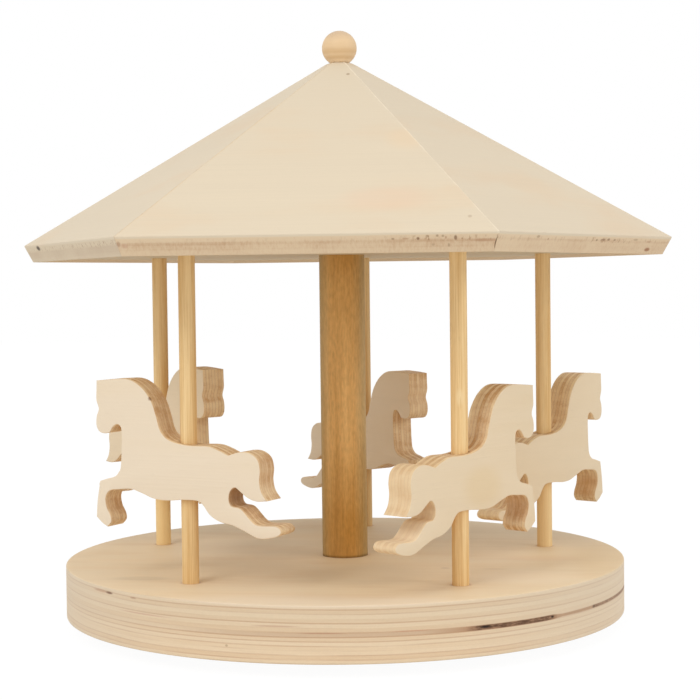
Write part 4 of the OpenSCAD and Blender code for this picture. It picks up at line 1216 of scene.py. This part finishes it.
class CAROUSEL_OT_stage(CarouselOperator, bpy.types.Operator):
    """Lays the white floor, hangs the soft lamps and sets the camera"""

    bl_idname = "carousel.stage"
    bl_label = "Stage"

    camera_place = Vector((69.46, -622.19, 120.86)) * MM
    camera_heading, camera_down, camera_roll = 6.132, 2.173, -0.654
    camera_lens = 89.16
    floor_half, floor_gap = 3.0, 0.02 * MM
    paper_white, glow_white, shadow_share = 0.85, 1.04, 0.08
    room_light = 0.75
    # Where all lamps point, and each lamp's name, place, size and power.
    lamp_aim = Vector((0.0, 0.0, 0.1))
    lamps = (
        ("key", (-0.62, -1.06, 1.08), 0.6, 5.6),
        ("top", (0.39, -0.39, 1.60), 1.0, 2.0),
        ("side", (1.42, -0.50, 0.68), 0.55, 3.3),
    )

    def execute(self, context):
        self.floor()
        self.world(context)
        for lamp in self.lamps:
            self.lamp(*lamp)
        self.camera(context)
        context.scene.view_settings.view_transform = "Standard"
        return {"FINISHED"}

    def seen(self, recipe):
        """1 for the rays that show the background: from the camera, by gloss or through glass."""
        outputs = recipe.node("LightPath").socket.node.outputs
        camera, gloss, glass = (Wire(recipe, outputs[f"Is {kind} Ray"])
                                for kind in ("Camera", "Glossy", "Transmission"))
        return camera.high(gloss).high(glass)

    def floor(self):
        half = self.floor_half
        points = np.array([(-half, -half, 0), (half, -half, 0), (half, half, 0), (-half, half, 0)])
        points = points + np.array([0, 0, CAD_BOX[0][2] - self.floor_gap])
        piece = build("floor", points, [np.array([[0, 1, 2, 3]])])
        recipe = Recipe("floor_white")
        paper = recipe.node("BsdfDiffuse", {"Color": (*[self.paper_white] * 3, 1)})
        glow = recipe.node("Emission", {"Color": (1, 1, 1, 1), "Strength": self.glow_white})
        share = self.seen(recipe) * (1 - self.shadow_share)
        recipe.node("OutputMaterial", [recipe.node("MixShader", [share, paper, glow])])
        piece.data.materials.append(recipe.material)

    def world(self, context):
        world = bpy.data.worlds.new("white_room")
        context.scene.world = world
        recipe = Recipe(world.name, world)
        strength = self.room_light + self.seen(recipe) * (1 - self.room_light)
        room = recipe.node("Background", {"Color": (1, 1, 1, 1), "Strength": strength})
        recipe.node("OutputWorld", [room])

    def lamp(self, name, place, size, power):
        light = bpy.data.lights.new(name, "AREA")
        light.shape, light.size, light.energy = "SQUARE", size, power
        lamp = bpy.data.objects.new(name, light)
        lamp.location = place
        lamp.rotation_euler = (self.lamp_aim - Vector(place)).to_track_quat("-Z", "Y").to_euler()
        bpy.context.scene.collection.objects.link(lamp)

    def camera(self, context):
        lens = bpy.data.cameras.new("camera")
        lens.lens, lens.sensor_width = self.camera_lens, 36.0
        camera = bpy.data.objects.new("camera", lens)
        turn = (Matrix.Rotation(radians(self.camera_heading), 3, "Z")
                @ Matrix.Rotation(pi / 2 - radians(self.camera_down), 3, "X")
                @ Matrix.Rotation(radians(self.camera_roll), 3, "Z"))
        camera.matrix_world = Matrix.Translation(self.camera_place) @ turn.to_4x4()
        context.scene.collection.objects.link(camera)
        context.scene.camera = camera


OPERATORS = (CAROUSEL_OT_board, CAROUSEL_OT_roof, CAROUSEL_OT_poles, CAROUSEL_OT_column,
             CAROUSEL_OT_horses, CAROUSEL_OT_finial, CAROUSEL_OT_movement, CAROUSEL_OT_stage)


class CAROUSEL_PT_panel(bpy.types.Panel):
    """Lists the sizes, the colours and the steps of the carousel"""

    bl_idname = "CAROUSEL_PT_panel"
    bl_label = "Carousel"
    bl_space_type = "VIEW_3D"
    bl_region_type = "UI"
    bl_category = "Carousel"

    def draw(self, context):
        for group in (context.scene.carousel_sizes, context.scene.carousel_colours):
            box = self.layout.box()
            for name in group.__annotations__:
                box.prop(group, name)
        for operator in OPERATORS:
            self.layout.operator(operator.bl_idname)


CLASSES = (CarouselSizes, CarouselColours, *OPERATORS, CAROUSEL_PT_panel)


def register():
    for made in CLASSES:
        bpy.utils.register_class(made)
    bpy.types.Scene.carousel_sizes = PointerProperty(type=CarouselSizes)
    bpy.types.Scene.carousel_colours = PointerProperty(type=CarouselColours)


def unregister():
    del bpy.types.Scene.carousel_colours
    del bpy.types.Scene.carousel_sizes
    for made in reversed(CLASSES):
        bpy.utils.unregister_class(made)


def main():
    """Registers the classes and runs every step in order."""
    register()
    for operator in OPERATORS:
        group, name = operator.bl_idname.split(".")
        getattr(getattr(bpy.ops, group), name)()


if __name__ == "__main__":
    main()
